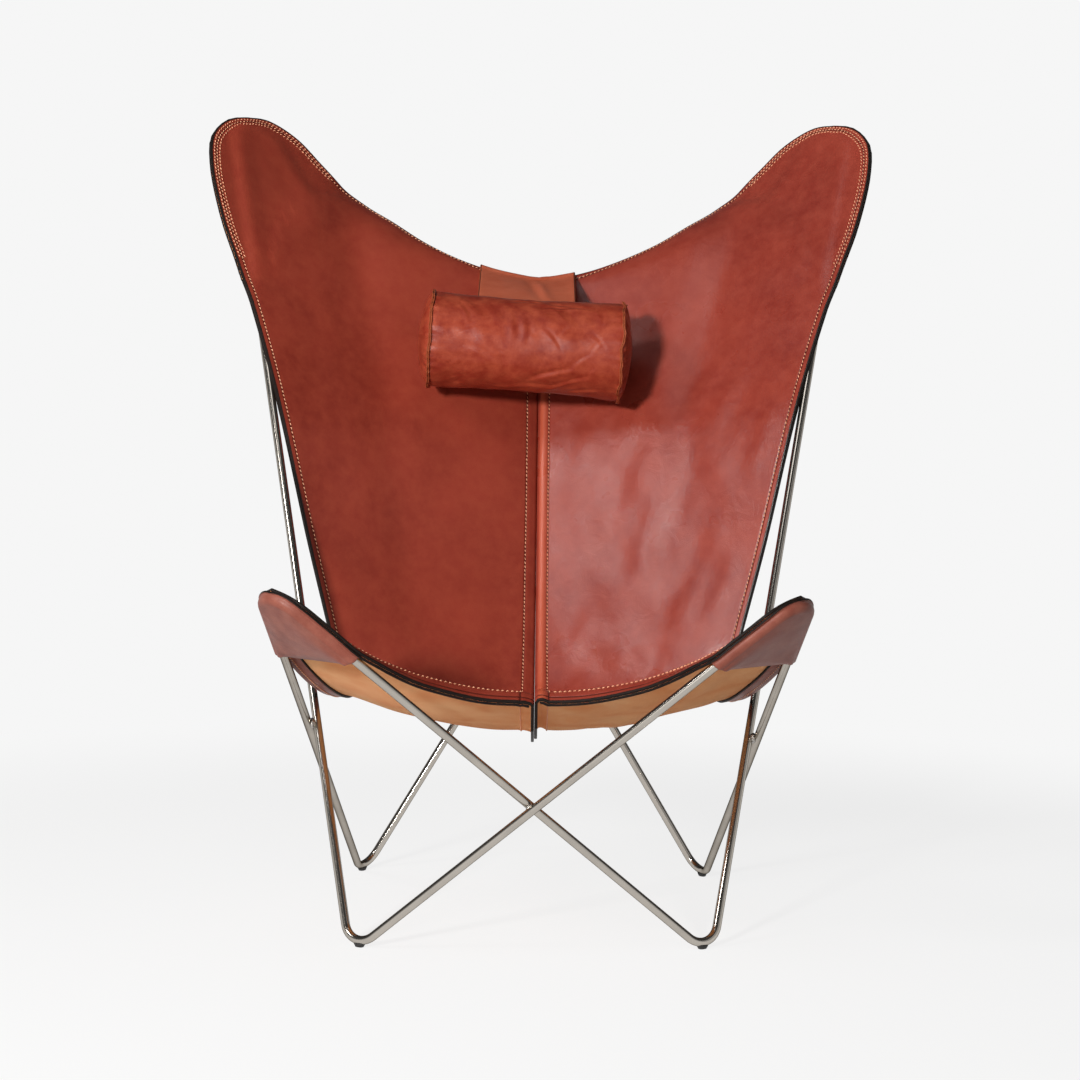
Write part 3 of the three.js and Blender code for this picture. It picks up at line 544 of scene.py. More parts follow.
def beyond_rail(points, pocket, rail):
    """How far points lie outside the rod's line, in the pocket's plane."""
    path, outs = rail
    shape = points.shape[:-1]
    flat = points.reshape(-1, 3)
    normal = pocket["normal"]
    flat = flat - ((flat - pocket["bend"]["corner"]) @ normal)[:, None] * normal
    result = np.empty(len(flat))
    for start in range(0, len(flat), 4000):
        away = flat[start:start + 4000, None] - path[None]
        near = (away ** 2).sum(-1).argmin(1)
        pick = np.arange(len(near))
        reach = np.sqrt((away[pick, near] ** 2).sum(-1))
        sign = np.sign((away[pick, near] * outs[near]).sum(-1))
        result[start:start + 4000] = reach * sign
    return result.reshape(shape)


class Panel:
    """One leather panel as it hangs: rolled down at the seam and drawn over the rods."""

    ROWS = 190
    COLUMNS = 74

    def __init__(self, side):
        self.side = side
        self.half = half = Half(side)
        length = half.seam.lengths[-1]
        body = np.linspace(NEAR[-1], length - NEAR[-1], self.ROWS)
        runs = np.concatenate([NEAR[:-1], body, (length - NEAR[:-1])[::-1]])
        self.v = half.seam.share_at_length(runs)
        self.wing_rail = rail_path(half.wing, WING_TOP_RUN + WING_RAIL_ON,
                                   WING_SIDE_RUN + WING_RAIL_ON)
        self.tip_rail = rail_path(half.tip, FRONT_RUN + TIP_RAIL_ON, BACK_RUN + TIP_RAIL_ON)
        sheet, across = self.sheet_grid()
        normals = grid_normals(sheet)
        sheet = sheet + normals * self.relief(sheet, across)[..., None]
        self.middle = np.concatenate([self.seam_grid(sheet, across), sheet], axis=1)
        self.normals = grid_normals(self.middle)
        self.first = self.middle.shape[1] - sheet.shape[1]
        self.across = across
        x = np.concatenate([np.zeros((len(self.v), self.first)), across], 1)
        self.flat = np.stack([x, np.broadcast_to(runs[:, None], x.shape)], -1)
        self.trees()

    def sheet_grid(self):
        fine_u = np.linspace(0, 1, 240)
        near_seam = np.concatenate([[SEAM_LAYER + ROLL_RADIUS], SEAM_COLUMNS])
        us, across = [], []
        for v in self.v:
            lengths = run_lengths(self.half.at(fine_u, v))
            body = np.linspace(24.5 * MM, lengths[-1] - NEAR[-1], self.COLUMNS)
            across.append(np.concatenate([near_seam, body, (lengths[-1] - NEAR[:-1])[::-1]]))
            us.append(np.interp(across[-1], lengths, fine_u))
        return self.half.at(np.array(us), self.v[:, None]), np.array(across)

    def relief(self, sheet, across):
        """Height of the leather over the drawn surface."""
        half = self.half
        lift = np.zeros(sheet.shape[:2])
        for pocket, rail, (out_drop, in_drop) in zip(
                (half.wing, half.tip), (self.wing_rail, self.tip_rail), DROPS):
            beyond = (sheet - pocket["at_a"]) @ pocket["inward"]
            height = (sheet - pocket["bend"]["corner"]) @ pocket["normal"]
            near = smooth((beyond + PULL_START) / PULL_RUN)
            near = near * (np.abs(height - SHEET_LIFT) < PULL_REACH)
            away = beyond_rail(sheet, pocket, rail)
            lift -= near * np.where(away > 0, out_drop * MM * smooth(away / DROP_RUNS[0]),
                                    in_drop * MM * smooth(-away / DROP_RUNS[1]))
        v = self.v[:, None]
        calm = smooth((across[:, -1:] - across) / CALM_BORDER)
        calm = calm * smooth((across - SEAM_FLAT) / CALM_SEAM)
        seat = smooth((v - 0.04) / 0.1) * (1 - smooth((v - 0.5) / 0.25))
        y = half.seam.lengths[-1] * v + 0 * across
        for height, length, seed, on_seat in SWELLS[self.side]:
            field = calm * seat if on_seat else calm
            lift += field * height * MM * waves(across, y, seed, length * MM)
        return lift

    def seam_grid(self, sheet, across):
        """The roll over the seam and the turned-down margin, row by row."""
        half = self.half
        seam = half.seam.many(self.v)
        after = half.seam.many(np.clip(self.v + 1e-3, 0, 1))
        before = half.seam.many(np.clip(self.v - 1e-3, 0, 1))
        up = units(np.cross(X_AXIS, after - before))
        start = SEAM_LAYER + ROLL_RADIUS
        first = sheet[:, 0] - seam - X_AXIS * start
        slope = (sheet[:, 1] - sheet[:, 0]) / (across[:, 1:2] - across[:, :1]) - X_AXIS
        puff, puff_place, puff_width = (k * MM for k in SEAM_PUFF[self.side])

        def column(x, height):
            shift = first + slope * (x - start)
            return seam + X_AXIS * x + shift + up * height

        for k in range(14):
            reach = across[0, k] - start
            sheet[:, k] += up * puff * hump(reach - puff_place, puff_width)
            sheet[:, k] -= up * 0.6 * MM * hump(across[0, k] - SEAM_STITCH, 2.2 * MM)
        depth = fin_depth(self.v)[:, None]
        base = puff * hump(start - SEAM_LAYER + puff_place, puff_width)
        columns = [column(SEAM_LAYER, -(depth * share + ROLL_RADIUS * (1 - share)) + base)
                   for share in (1, 0.9, 0.6, 0.3, 0.1)]
        for turn in np.radians([0, 18, 36, 54, 72]):
            x = start - ROLL_RADIUS * math.cos(turn)
            rise = puff * hump(x - start - puff_place, puff_width)
            columns.append(column(x, -ROLL_RADIUS * (1 - math.sin(turn)) + rise))
        return np.stack(columns, axis=1)

    def trees(self):
        """Nearest-point trees of the top and the underside of the sheet."""
        self.sheet_points = self.middle[:, self.first:]
        self.sheet_normals = self.normals[:, self.first:]
        shape = self.sheet_points.shape[:2]
        quads = Build()
        quads.grid(np.arange(shape[0] * shape[1]).reshape(shape))
        self.faces = {}
        for key, sign in (("top", 1), ("low", -1)):
            points = self.sheet_points + sign * self.sheet_normals * PANEL / 2
            self.faces[key] = BVHTree.FromPolygons(
                [Vector(p) for p in points.reshape(-1, 3)], quads.faces)

    def on_face(self, points, key):
        """The nearest points of a face, with normals that point away from the leather."""
        found = [self.faces[key].find_nearest(Vector(p)) for p in points]
        places, normals = (np.array([list(f[k]) for f in found]) for k in (0, 1))
        return places, normals * (1 if key == "top" else -1)

    def edge_line(self):
        """The edge of the leather as a line: front from the seam, side, then top to the seam."""
        return [np.concatenate([k[0, :-1], k[:-1, -1], k[-1, ::-1]])
                for k in (self.sheet_points, self.sheet_normals)]

    def build(self, materials):
        edge = resample(self.edge_line()[0], EDGE_STEP)
        tree = KDTree(len(edge))
        for i, p in enumerate(edge):
            tree.insert(Vector(p), i)
        tree.balance()
        reach = np.array([tree.find(Vector(p))[2] for p in self.middle.reshape(-1, 3)])
        seam = self.flat[..., 0].copy()
        seam[:, :self.first] = 0
        node = f"sling_panel_{SIDES[self.side]}"
        obj = shell(f"{node}_leather", mirrored(self.middle, self.side),
                    mirrored(self.normals, self.side), PANEL / 2, materials,
                    {"flat": self.flat, "edge": reach, "seam": seam})
        return given(obj, "chair", "panel_leather", node)


def resample(line, step):
    """Points at even steps along a line."""
    lengths = run_lengths(line)
    count = max(2, int(round(lengths[-1] / step)) + 1)
    return spaced(np.linspace(0, lengths[-1], count), lengths, line)


# Stitches

STITCH_PITCH = 6 * MM
STITCH_LENGTH = 4.1 * MM
STITCH_SLANT = 0.32
BORDER_ROW, BORDER_ROW_FRONT = 9 * MM, 14 * MM
WING_ROWS = (4.5 * MM, 13.5 * MM)
# How far the rows on the underside are lifted over the strips: seam, border, wing rows
ROW_LIFTS = {"top": (0, 0, 0, 0), "low": (0, 3.8 * MM, 3.4 * MM, 3.4 * MM)}
THREAD = 0.72 * MM


def stitch_template():
    """A short thread that dips into the leather at both ends, lying along X."""
    points = []
    for share, thick in ((-0.97, 0.35), (-0.6, 0.9), (0, 1), (0.6, 0.9), (0.97, 0.35)):
        x = share * STITCH_LENGTH / 2
        lift = THREAD * (0.75 - 1.15 * share * share)
        for turn in (math.pi / 3 * k for k in range(6)):
            points.append((x, THREAD * thick * math.cos(turn),
                           lift + THREAD * thick * math.sin(turn)))
    return np.array(points), Build().capped(points[k:k + 6] for k in range(0, 30, 6)).faces


TEMPLATE, TEMPLATE_FACES = stitch_template()


def sew(name, rows, body, slot, seed):
    """Rows of stitches as one object. Each row is a pair of points and normals."""
    pick = np.random.RandomState(seed)
    build = Build()
    for line, normals in rows:
        lengths = run_lengths(line)
        count = int(lengths[-1] / STITCH_PITCH)
        at = (np.arange(count) + 0.5) * lengths[-1] / count
        ups = units(spaced(at, lengths, normals))
        along = units(spaced(at + STITCH_PITCH, lengths, line)
                      - spaced(at - STITCH_PITCH, lengths, line))
        aside = units(np.cross(ups, along))
        along = units(np.cross(aside, ups))
        lean = STITCH_SLANT + pick.uniform(-0.05, 0.05, (count, 1))
        first = along * np.cos(lean) + aside * np.sin(lean)
        second = units(np.cross(ups, first))
        local = TEMPLATE[None] * pick.uniform(0.93, 1.05, (count, 1, 1))
        placed = (spaced(at, lengths, line)[:, None] + local[..., :1] * first[:, None]
                  + local[..., 1:2] * second[:, None] + local[..., 2:] * ups[:, None])
        for stitch in placed:
            start = build.add(stitch)
            build.faces += [tuple(start + c for c in f) for f in TEMPLATE_FACES]
            build.kinds += [0] * len(TEMPLATE_FACES)
    return given(build.object(name, [THREAD_FINISH]), body, slot)


def inset_row(panel, line, normals, distance, key):
    """A row on a face of the leather, a distance in from a stretch of its edge."""
    inward = units(np.cross(normals, units(np.gradient(line, axis=0))))
    centre = panel.sheet_points[len(panel.v) // 2, panel.sheet_points.shape[1] // 2]
    if (inward * (centre - line)).sum() < 0:
        inward = -inward
    distance = np.broadcast_to(distance, (len(line),))[:, None]
    return panel.on_face(line + inward * distance, key)


# Strips under the edges


def sewn_under(node, panel, middle, normals, half, materials, slot, bulge):
    """A piece of leather under a panel, from its middle surface in right-hand places."""
    obj = shell(f"{node}_leather", mirrored(middle, panel.side), mirrored(normals, panel.side),
                half, materials, {"flat": flat_coords(middle)}, bulge)
    return given(obj, "chair", slot, node)


def under_strip(node, panel, rows, columns, hide):
    """A strip of leather sewn under part of the sheet's grid."""
    part = np.ix_(np.arange(*rows), np.arange(*columns))
    normals = panel.sheet_normals[part]
    middle = panel.sheet_points[part] - normals * (PANEL + HEM + SEWN_GAP) / 2
    return sewn_under(node, panel, middle, normals, HEM / 2, [hide, hide, EDGE_PAINT],
                      "hem_leather", 0.6 * MM)


# Pockets


def pocket_piece(node, panel, pocket, runs):
    """A pocket sewn under the sheet beyond a rod and wrapped round the rod's far side."""
    path, outs = rail_path(pocket, *runs)
    edge = resample(panel.edge_line()[0], EDGE_STEP)
    normal = pocket["normal"]
    wrap = ROD_RADIUS + POCKET_CLEARANCE + POCKET / 2
    mouth_a = pocket["at_a"] + pocket["chord"] * 2 * ROD_RADIUS
    mouth_b = pocket["at_b"] - pocket["chord"] * 2 * ROD_RADIUS
    grid = []
    for k, (rod, square) in enumerate(zip(path, outs)):
        share, out = k / (len(path) - 1), square
        skew = max(1 - share / POCKET_SKEW, (share - 1 + POCKET_SKEW) / POCKET_SKEW, 0)
        if skew > 0:
            chord = pocket["chord"] * (-1 if share < 0.5 else 1)
            out = unit(square * (1 - skew) + chord * skew)
        side = unit(np.cross(out, normal))
        rel = edge - rod
        near = (rel @ out > 0) & (np.abs(rel @ normal) < 30 * MM)
        meet = rel[(np.abs(rel @ side) + np.where(near, 0, 1)).argmin()]
        low = meet @ normal - PANEL / 2 - POCKET / 2 - SEWN_GAP
        bend_at = wrap / max(out @ square, 0.4)
        flange = max(meet @ out, bend_at + 3 * MM)
        row = [rod + out * (bend_at + (flange - bend_at) * s) + normal * (low * min(1, 0.55 + s))
               for s in (1.0, 0.75, 0.5, 0.25, 0.0)]
        row += [rod + out * bend_at * math.cos(turn) + normal * wrap * math.sin(turn)
                for turn in np.radians([-12, -30, -48, -66, -84])]
        under = rod - normal * wrap
        run = mouth_a + (mouth_b - mouth_a) * share - normal * wrap - under
        row += [under + run * s - normal * (POCKET_SAG * math.sin(math.pi * s))
                for s in np.linspace(0, 1, 9)]
        grid.append(row)
    middle = np.array(grid)
    normals = grid_normals(middle)
    if normals[len(path) // 2, 12] @ normal > 0:
        normals = -normals
    return sewn_under(node, panel, middle, normals, POCKET / 2,
                      [POCKET_LEATHER, SUEDE, EDGE_PAINT], "pocket_leather", 0.5 * MM)


# Rods


def loop_line(bends):
    """The centre line of a loop as a closed run of points."""
    points = []
    for bend, after in zip(bends, bends[1:] + bends[:1]):
        points += [bend["centre"] + arc_out(bend, share) * bend["radius"]
                   for share in np.linspace(0, 1, 21)]
        start = bend["corner"] + bend["b"] * bend["reach"]
        stop = after["corner"] + after["a"] * after["reach"]
        points += [start + (stop - start) * share for share in np.linspace(0, 1, 10)[1:-1]]
    return np.array(points)


def closed_tube(side, sides=28):
    """One loop of rod, as a closed round tube."""
    word, line = SIDES[side], loop_line(LOOPS[side])
    count = len(line)
    tangents = units(np.roll(line, -1, 0) - np.roll(line, 1, 0))
    normal = unit(np.cross(tangents[0], [0.3, 0.2, 1]))
    frames = []
    for tangent in tangents:
        normal = unit(normal - tangent * (normal @ tangent))
        frames.append(normal)
    last = unit(normal - tangents[0] * (normal @ tangents[0]))
    twist = math.atan2(np.cross(last, frames[0]) @ tangents[0], last @ frames[0])
    build, index = Build(), []
    for k in range(count):
        aside = np.cross(tangents[k], frames[k])
        spin = twist * k / count
        index.append(build.ring([line[k] + ROD_RADIUS * (frames[k] * math.cos(t + spin)
                                                         + aside * math.sin(t + spin))
                                 for t in np.linspace(0, 2 * math.pi, sides, endpoint=False)]))
    build.grid([*index, index[0]], around=True)
    obj = build.object(f"{word}_loop_rod", [ROD_STEEL])
    uv_map(obj, np.stack([np.tile(np.arange(sides) / sides, count),
                          np.repeat(run_lengths(line), sides)], -1))
    given(obj, "chair", "rod_steel", *[n for n in frame["nodes"] if n.startswith(f"{word}_loop_")])


# Headrest roll, in its own frame: x along it, y back and z up

ROLL_HALF, ROLL_OUT, ROLL_CROWN, ROLL_TILT = 134 * MM, 67 * MM, 3 * MM, math.radians(3.3)
LEFT_DOME, RIGHT_DOME = 19 * MM, 15 * MM
CORE_HALF, CORE_OUT = 133 * MM, 57.5 * MM
# Gathers at the end seams and the leather's pull down to them: height and run
PUCKER, PUCKER_RUN, RIM_DROP, RIM_RUN = 0.7 * MM, 9 * MM, 1.6 * MM, 5 * MM
ROLL_CENTRE = sum(node_box("headrest_cover")) / 2
ROLL_TURN = np.array(Matrix.Rotation(ROLL_TILT, 3, "Y"))


def to_roll_place(local):
    return local @ ROLL_TURN.T + ROLL_CENTRE


def roll_folds():
    """Folds of the roll's leather: place along it in mm, way round it in degrees, length in
    mm, lean in degrees, width and depth in mm."""
    folds = [(34, 214, 30, -22, 3.4, 1.5), (58, 226, 26, -28, 3.0, 1.3),
             (-12, 158, 17, 84, 5.0, 1.1), (4, 163, 15, 88, 4.4, 1.0), (40, 170, 17, 52, 2.8, 0.9),
             (50, 158, 13, -48, 2.4, 0.9), (24, 112, 42, 3, 3.0, 1.2), (46, 121, 30, -6, 2.6, 1.0),
             (4, 104, 30, 6, 2.6, 0.9), (-56, 192, 22, 28, 3.4, 0.7), (84, 240, 24, -20, 3.2, 1.2),
             (72, 196, 18, -40, 3.0, 0.8), (-84, 140, 20, 64, 3.4, 0.7),
             (-30, 205, 20, 70, 3.6, 0.6), (8, 236, 34, -4, 4.0, 0.8)]
    pick = np.random.RandomState(77)
    for _ in range(34):
        folds.append((pick.uniform(-105, 105), pick.uniform(60, 300), pick.uniform(6, 16),
                      pick.uniform(-90, 90), pick.uniform(1.9, 2.8), pick.uniform(0.2, 0.5)))
    return folds


FOLDS = roll_folds()


def roll_radius(x, turn):
    """The leather's distance from the axis, with its dents and wrinkles."""
    share = np.clip(np.abs(x) / ROLL_HALF, 0, 1)
    facing = smooth((0.77 - np.cos(turn)) / 0.5)
    growth = np.where(x < 0, 2.8, 5.0) * MM * share ** 2 - 2.2 * MM
    radius = ROLL_OUT + growth * facing - ROLL_CROWN * share ** 2 * (1 - facing)
    end = (1 - share) * ROLL_HALF
    seam_side = np.sign(x)
    pucker = np.sin(turn * 23 + 1.7 * np.sin(turn * 5 + seam_side) + seam_side * 2)
    pucker = pucker + 0.6 * np.sin(turn * 37 + seam_side * 5)
    radius = radius + PUCKER * pucker * np.exp(-end / PUCKER_RUN)
    radius = radius - RIM_DROP * np.exp(-end / RIM_RUN)
    ring = np.stack([np.cos(turn), np.sin(turn)], -1) * ROLL_OUT
    lumps = waves(x + ring[..., 0] * 0.7, ring[..., 1] * 1.1 + ring[..., 0] * 0.4, 21, 75 * MM)
    radius = radius + 1.1 * MM * lumps
    fine = waves(x + ring[..., 0], ring[..., 1] * 1.3 - ring[..., 0] * 0.6, 33, 26 * MM, 9)
    middle = hump(x, 75 * MM)
    radius = radius + (0.2 + 0.25 * middle) * MM * fine
    for place, face, length, lean, width, depth in FOLDS:
        away = x - place * MM
        down = ((turn - math.radians(face) + math.pi) % (2 * math.pi) - math.pi) * ROLL_OUT
        lean = math.radians(lean)
        along = (away * math.cos(lean) + down * math.sin(lean)) / (length * MM)
        bow = 0.1 * length * MM * along * along
        aside = (down * math.cos(lean) - away * math.sin(lean) - bow) / (width * MM)
        fade = np.exp(-along * along)
        radius = radius - depth * MM * fade * (np.exp(-aside * aside)
                                               - 0.75 * np.exp(-(aside - 1.9) ** 2))
    return radius


def full_turn(count):
    return np.linspace(0, 2 * math.pi, count, endpoint=False)


def headrest_roll(around=256, along=170):
    """The roll's leather: the barrel and its two domed ends."""
    turns = full_turn(around)
    body = ROLL_HALF * np.sin(np.linspace(-math.pi / 2, math.pi / 2, along) * 0.985)
    body = body / math.sin(math.pi / 2 * 0.985)
    dome = [(share, math.cos(share * math.pi / 2) ** 0.6) for share in np.linspace(0.06, 0.97, 12)]
    rows = [(-ROLL_HALF - rise * LEFT_DOME - 1.2 * MM, share) for share, rise in dome]
    rows += [(x, None) for x in body]
    rows += [(ROLL_HALF + rise * RIGHT_DOME + 1.2 * MM, share) for share, rise in dome[::-1]]
    build, index, flat = Build(), [], []
    for x, share in rows:
        radius = roll_radius(np.full(around, np.clip(x, -ROLL_HALF, ROLL_HALF)), turns)
        place = np.full(around, x)
        if share:
            folds = np.sin(turns * 19 + 2 * np.sin(turns * 4)) * 0.8 * MM * share ** 4
            place = place + np.sign(x) * (folds + 0.8 * MM * waves(
                np.cos(turns) * share * 60 * MM, np.sin(turns) * share * 60 * MM, 41, 50 * MM))
            radius = radius * 0.985 * share
        local = np.stack([place, radius * np.cos(turns), radius * np.sin(turns)], -1)
        index.append(build.ring(to_roll_place(local)))
        flat.append(np.stack([turns * ROLL_OUT, np.full(around, x)], -1))
    build.grid(index, around=True)
    for ring, x in ((index[0], rows[0][0] - 0.2 * MM), (index[-1], rows[-1][0] + 0.2 * MM)):
        centre = build.add(to_roll_place(np.array([[x, 0, 0]])))
        for k in range(around):
            corners = (centre, ring[k], ring[(k + 1) % around])
            build.faces.append(corners if ring is index[-1] else corners[::-1])
            build.kinds.append(0)
        flat.append(np.array([[0, x]]))
    obj = build.object("headrest_roll_leather", [ROLL_LEATHER])
    uv_map(obj, np.concatenate(flat))
    given(obj, "headrest", "headrest_leather", "headrest_cover", "headrest_end_left",
          "headrest_end_right")


def foam_core():
    """The filling inside the leather, with rounded rims."""
    turns = full_turn(96)
    profile = [(-CORE_HALF, 0.3), (-CORE_HALF, 0.8), (-CORE_HALF + 1 * MM, 0.93),
               (-CORE_HALF + 3 * MM, 0.98), (-CORE_HALF + 6 * MM, 1)]
    profile += [(x, 1) for x in np.linspace(-CORE_HALF + 16 * MM, CORE_HALF - 16 * MM, 24)]
    profile += [(-x, share) for x, share in profile[4::-1]]
    rings = []
    for x, share in profile:
        radius = CORE_OUT * share * (1 + 0.006 * waves(
            x + 0 * turns, np.cos(turns) * CORE_OUT, 51, 80 * MM))
        rings.append(to_roll_place(np.stack(
            [np.full(96, x), radius * np.cos(turns), radius * np.sin(turns)], -1)))
    given(Build().capped(rings).object("headrest_filling_core", [FOAM]), "headrest",
          "headrest_filling", "headrest_core")


def seam_lip(side, around=220):
    """The two raw edges that stand up together round one end of the roll."""
    build, index = Build(), []
    play = 1 if side > 0 else 0.45
    for k in range(around):
        turn = 2 * math.pi * k / around
        wander = 1.5 * math.sin(turn * 7 + side) + 0.9 * math.sin(turn * 13 + 2 * side)
        wander = play * (wander + 0.5 * math.sin(turn * 29 + 3))
        tall = 3.6 + play * (0.9 * math.sin(turn * 5 + side * 2) + 0.5 * math.sin(turn * 17))
        base = float(roll_radius(np.array(side * (ROLL_HALF - 1e-4)), np.array(turn)))
        root, tip = base - 4 * MM, base + tall * MM
        profile = []
        for x, r in ((-2.3, root), (-2.2, (root + tip) / 2), (-2.0, tip - 0.9 * MM),
                     (-1.2, tip), (-0.45, tip - 0.5 * MM), (0, tip - 2.4 * MM),
                     (0.45, tip - 0.6 * MM), (1.2, tip), (1.9, tip - 0.9 * MM),
                     (2.2, (root + tip) / 2), (2.3, root)):
            grow = np.clip((r - root) / (tip - root), 0, 1)
            at = side * (ROLL_HALF + 0.8 * MM) + (x + wander * grow) * MM
            profile.append((at, r * math.cos(turn), r * math.sin(turn)))
        index.append(build.ring(to_roll_place(np.array(profile))))
    build.grid([*index, index[0]], around=True)
    build.kinds = [int(2 <= quad[0] % len(profile) <= 7) for quad in build.faces]
    given(build.object(f"headrest_lip_{SIDES[side]}", [ROLL_LEATHER, RAW_EDGE]), "headrest",
          "headrest_leather")


# Strap over the top edge, and the pouch with the counterweight

STRAP_HALF = 70 * MM
STRAP_HANG = 28 * MM
STRAP_LEAN = math.radians(63)
STRAP_COLUMNS = 41
MIDDLE_COLUMN = STRAP_COLUMNS // 2
# The row of the front strap that stays with the chair, where it reaches the top edge
ROW_AT_EDGE = 40
OVER_SHARES = [(-0.43, -0.18), (-0.18, -0.02), (0.07, 0.01), (0.39, 0), (0.71, -0.21),
               (0.93, -0.57), (1, -1)]
CREST_LIFT = STRAP / 2 + PANEL / 2 + SEAT_GAP
POUCH_LOW, POUCH_HIGH = node_box("counterweight_pouch")
POUCH_CENTRE = (POUCH_LOW + POUCH_HIGH) / 2


def top_edge_at(x):
    line = TOP_LINE
    return np.array([x, np.interp(abs(x), line[:, 0], line[:, 1]),
                     np.interp(abs(x), line[:, 0], line[:, 2])])


def over_point(x, behind, above):
    """A point of the strap over the top edge, in shares of the strap's hang."""
    edge, notch = top_edge_at(x), top_edge_at(0)
    y = edge[1] + (notch[1] - edge[1]) * smooth(behind) + behind * STRAP_HANG
    fold = 1.9 * MM * hump(x - 2 * MM, 11 * MM)
    return np.array([x, y, edge[2] + CREST_LIFT + fold + above * STRAP_HANG])


def roll_point(x, lean):
    """A point of the strap on the roll, at an angle up from its back."""
    along = (x - ROLL_CENTRE[0] - ROLL_OUT * math.sin(lean) * math.sin(ROLL_TILT))
    along = along / math.cos(ROLL_TILT)
    reach = float(roll_radius(np.array(along), np.array(lean))) + (SEAT_GAP + STRAP / 2)
    return to_roll_place(np.array([along, reach * math.cos(lean), reach * math.sin(lean)]))


def strap_piece(name, column, facing, half=STRAP / 2, edged=True):
    """A piece of the strap from its columns of middle points, its face up (2) or back (1)."""
    places = ROLL_CENTRE[0] + STRAP_HALF * np.linspace(-1, 1, STRAP_COLUMNS)
    middle = np.stack([column(x) for x in places], 1)
    normals = grid_normals(middle)
    if normals[20, MIDDLE_COLUMN, facing] < 0:
        normals = -normals
    fields = {"flat": flat_coords(middle)}
    if edged:
        fields["edge"] = np.minimum(*(np.abs(middle[..., 0] - ROLL_CENTRE[0] - s * STRAP_HALF)
                                      for s in (-1, 1)))
    obj = shell(name, middle, normals, half, [STRAP_LEATHER, SUEDE, RAW_EDGE], fields)
    return obj, middle, normals


def front_column(x):
    """The strap from the roll up and over the top edge."""
    low = roll_point(x, STRAP_LEAN)
    top = over_point(x, *OVER_SHARES[0])
    run = [low + (top - low) * s for s in (0, 0.12, 0.34, 0.67)]
    spline = Spline([*run, *[over_point(x, *s) for s in OVER_SHARES]])
    share = np.linspace(0, 1, 76)
    line = spline.many(spline.share_at_length(share * spline.lengths[-1]))
    body = np.sin(math.pi * np.clip(share / 0.72, 0, 1))
    ridge = hump(x - (16 - 30 * share) * MM, 6 * MM) * 2.4 * MM * body
    ridge -= hump(x - (4 - 30 * share) * MM, 8 * MM) * 1.8 * MM * body
    swell = 1.1 * MM * body * math.cos((x - ROLL_CENTRE[0]) / STRAP_HALF * 3.4 + 0.6)
    line[:, 2] += ridge + swell
    return line


def rear_column(x):
    """The strap down the back to the pouch."""
    start = over_point(x, *OVER_SHARES[-1]) - np.array([0, 0, 0.2 * MM])
    start[1] = POUCH_CENTRE[1]
    share = np.linspace(0, 1, 44)[:, None]
    line = start + (np.array([x, POUCH_CENTRE[1], POUCH_HIGH[2] + SEAT_GAP]) - start) * share
    line[:, 1:2] += 1.4 * MM * np.sin(math.pi * share) * math.cos(
        (x - ROLL_CENTRE[0]) / STRAP_HALF * 2.6 + 0.5)
    return line


def flap_column(x):
    """The strap's sewn end, which lies on the back of the roll."""
    leans = np.linspace(math.radians(70), math.radians(26), 26)
    return np.array([roll_point(x, lean) for lean in leans])


# Rounding of the pouch's corners, half its depth at the sewn rim and at its fullest
POUCH_CORNER, POUCH_FLAT, POUCH_SWELL = 12 * MM, 3.6 * MM, 12.6 * MM


def pouch_piece():
    """The pouch: two leaves sewn flat round the rim, swollen by the bar between them."""
    low, high = POUCH_LOW[2], POUCH_HIGH[2]
    spread = np.sin(np.linspace(-1, 1, 64) * math.pi / 2 * 0.93) / math.sin(math.pi / 2 * 0.93)
    middle, halves, edges = [], [], []
    for z in low + (high - low) * smooth(np.linspace(0.0, 1, 60)):
        rise = z - low
        half = STRAP_HALF - (POUCH_CORNER - math.sqrt(
            max(POUCH_CORNER ** 2 - max(POUCH_CORNER - rise, 0) ** 2, 0)))
        xs = half * spread
        side = half - np.abs(xs)
        near = np.minimum(side, rise) if rise < 60 * MM else side
        drop = np.clip((high - z) / (high - low), 0, 1)
        full = POUCH_SWELL * (1 - 0.42 * smooth((0.62 - drop) / 0.6))
        swell = smooth((near - 4.5 * MM) / (12 * MM))
        halves.append(POUCH_FLAT + (full - POUCH_FLAT) * swell
                      + 0.35 * MM * swell * waves(xs, z + 0 * xs, 61, 40 * MM))
        middle.append(np.stack([ROLL_CENTRE[0] + xs, np.full(64, POUCH_CENTRE[1]),
                                np.full(64, z)], -1))
        edges.append(near)
    middle = np.array(middle)
    normals = np.zeros_like(middle)
    normals[..., 1] = -1
    obj = shell("counterweight_pouch_leather", middle, normals, np.array(halves),
                [STRAP_LEATHER, STRAP_LEATHER, EDGE_PAINT],
                {"flat": flat_coords(middle), "edge": np.array(edges)}, bulge=0.4 * MM)
    given(obj, "counterweight", "headrest_leather", "counterweight_pouch")


BAR_HALF, BAR_CORNER = 52 * MM, 4 * MM
BAR_SECTION = [(-6.5, 2), (-6.1, 0.9), (-5, 0), (5, 0), (6.1, 0.9), (6.5, 2)]


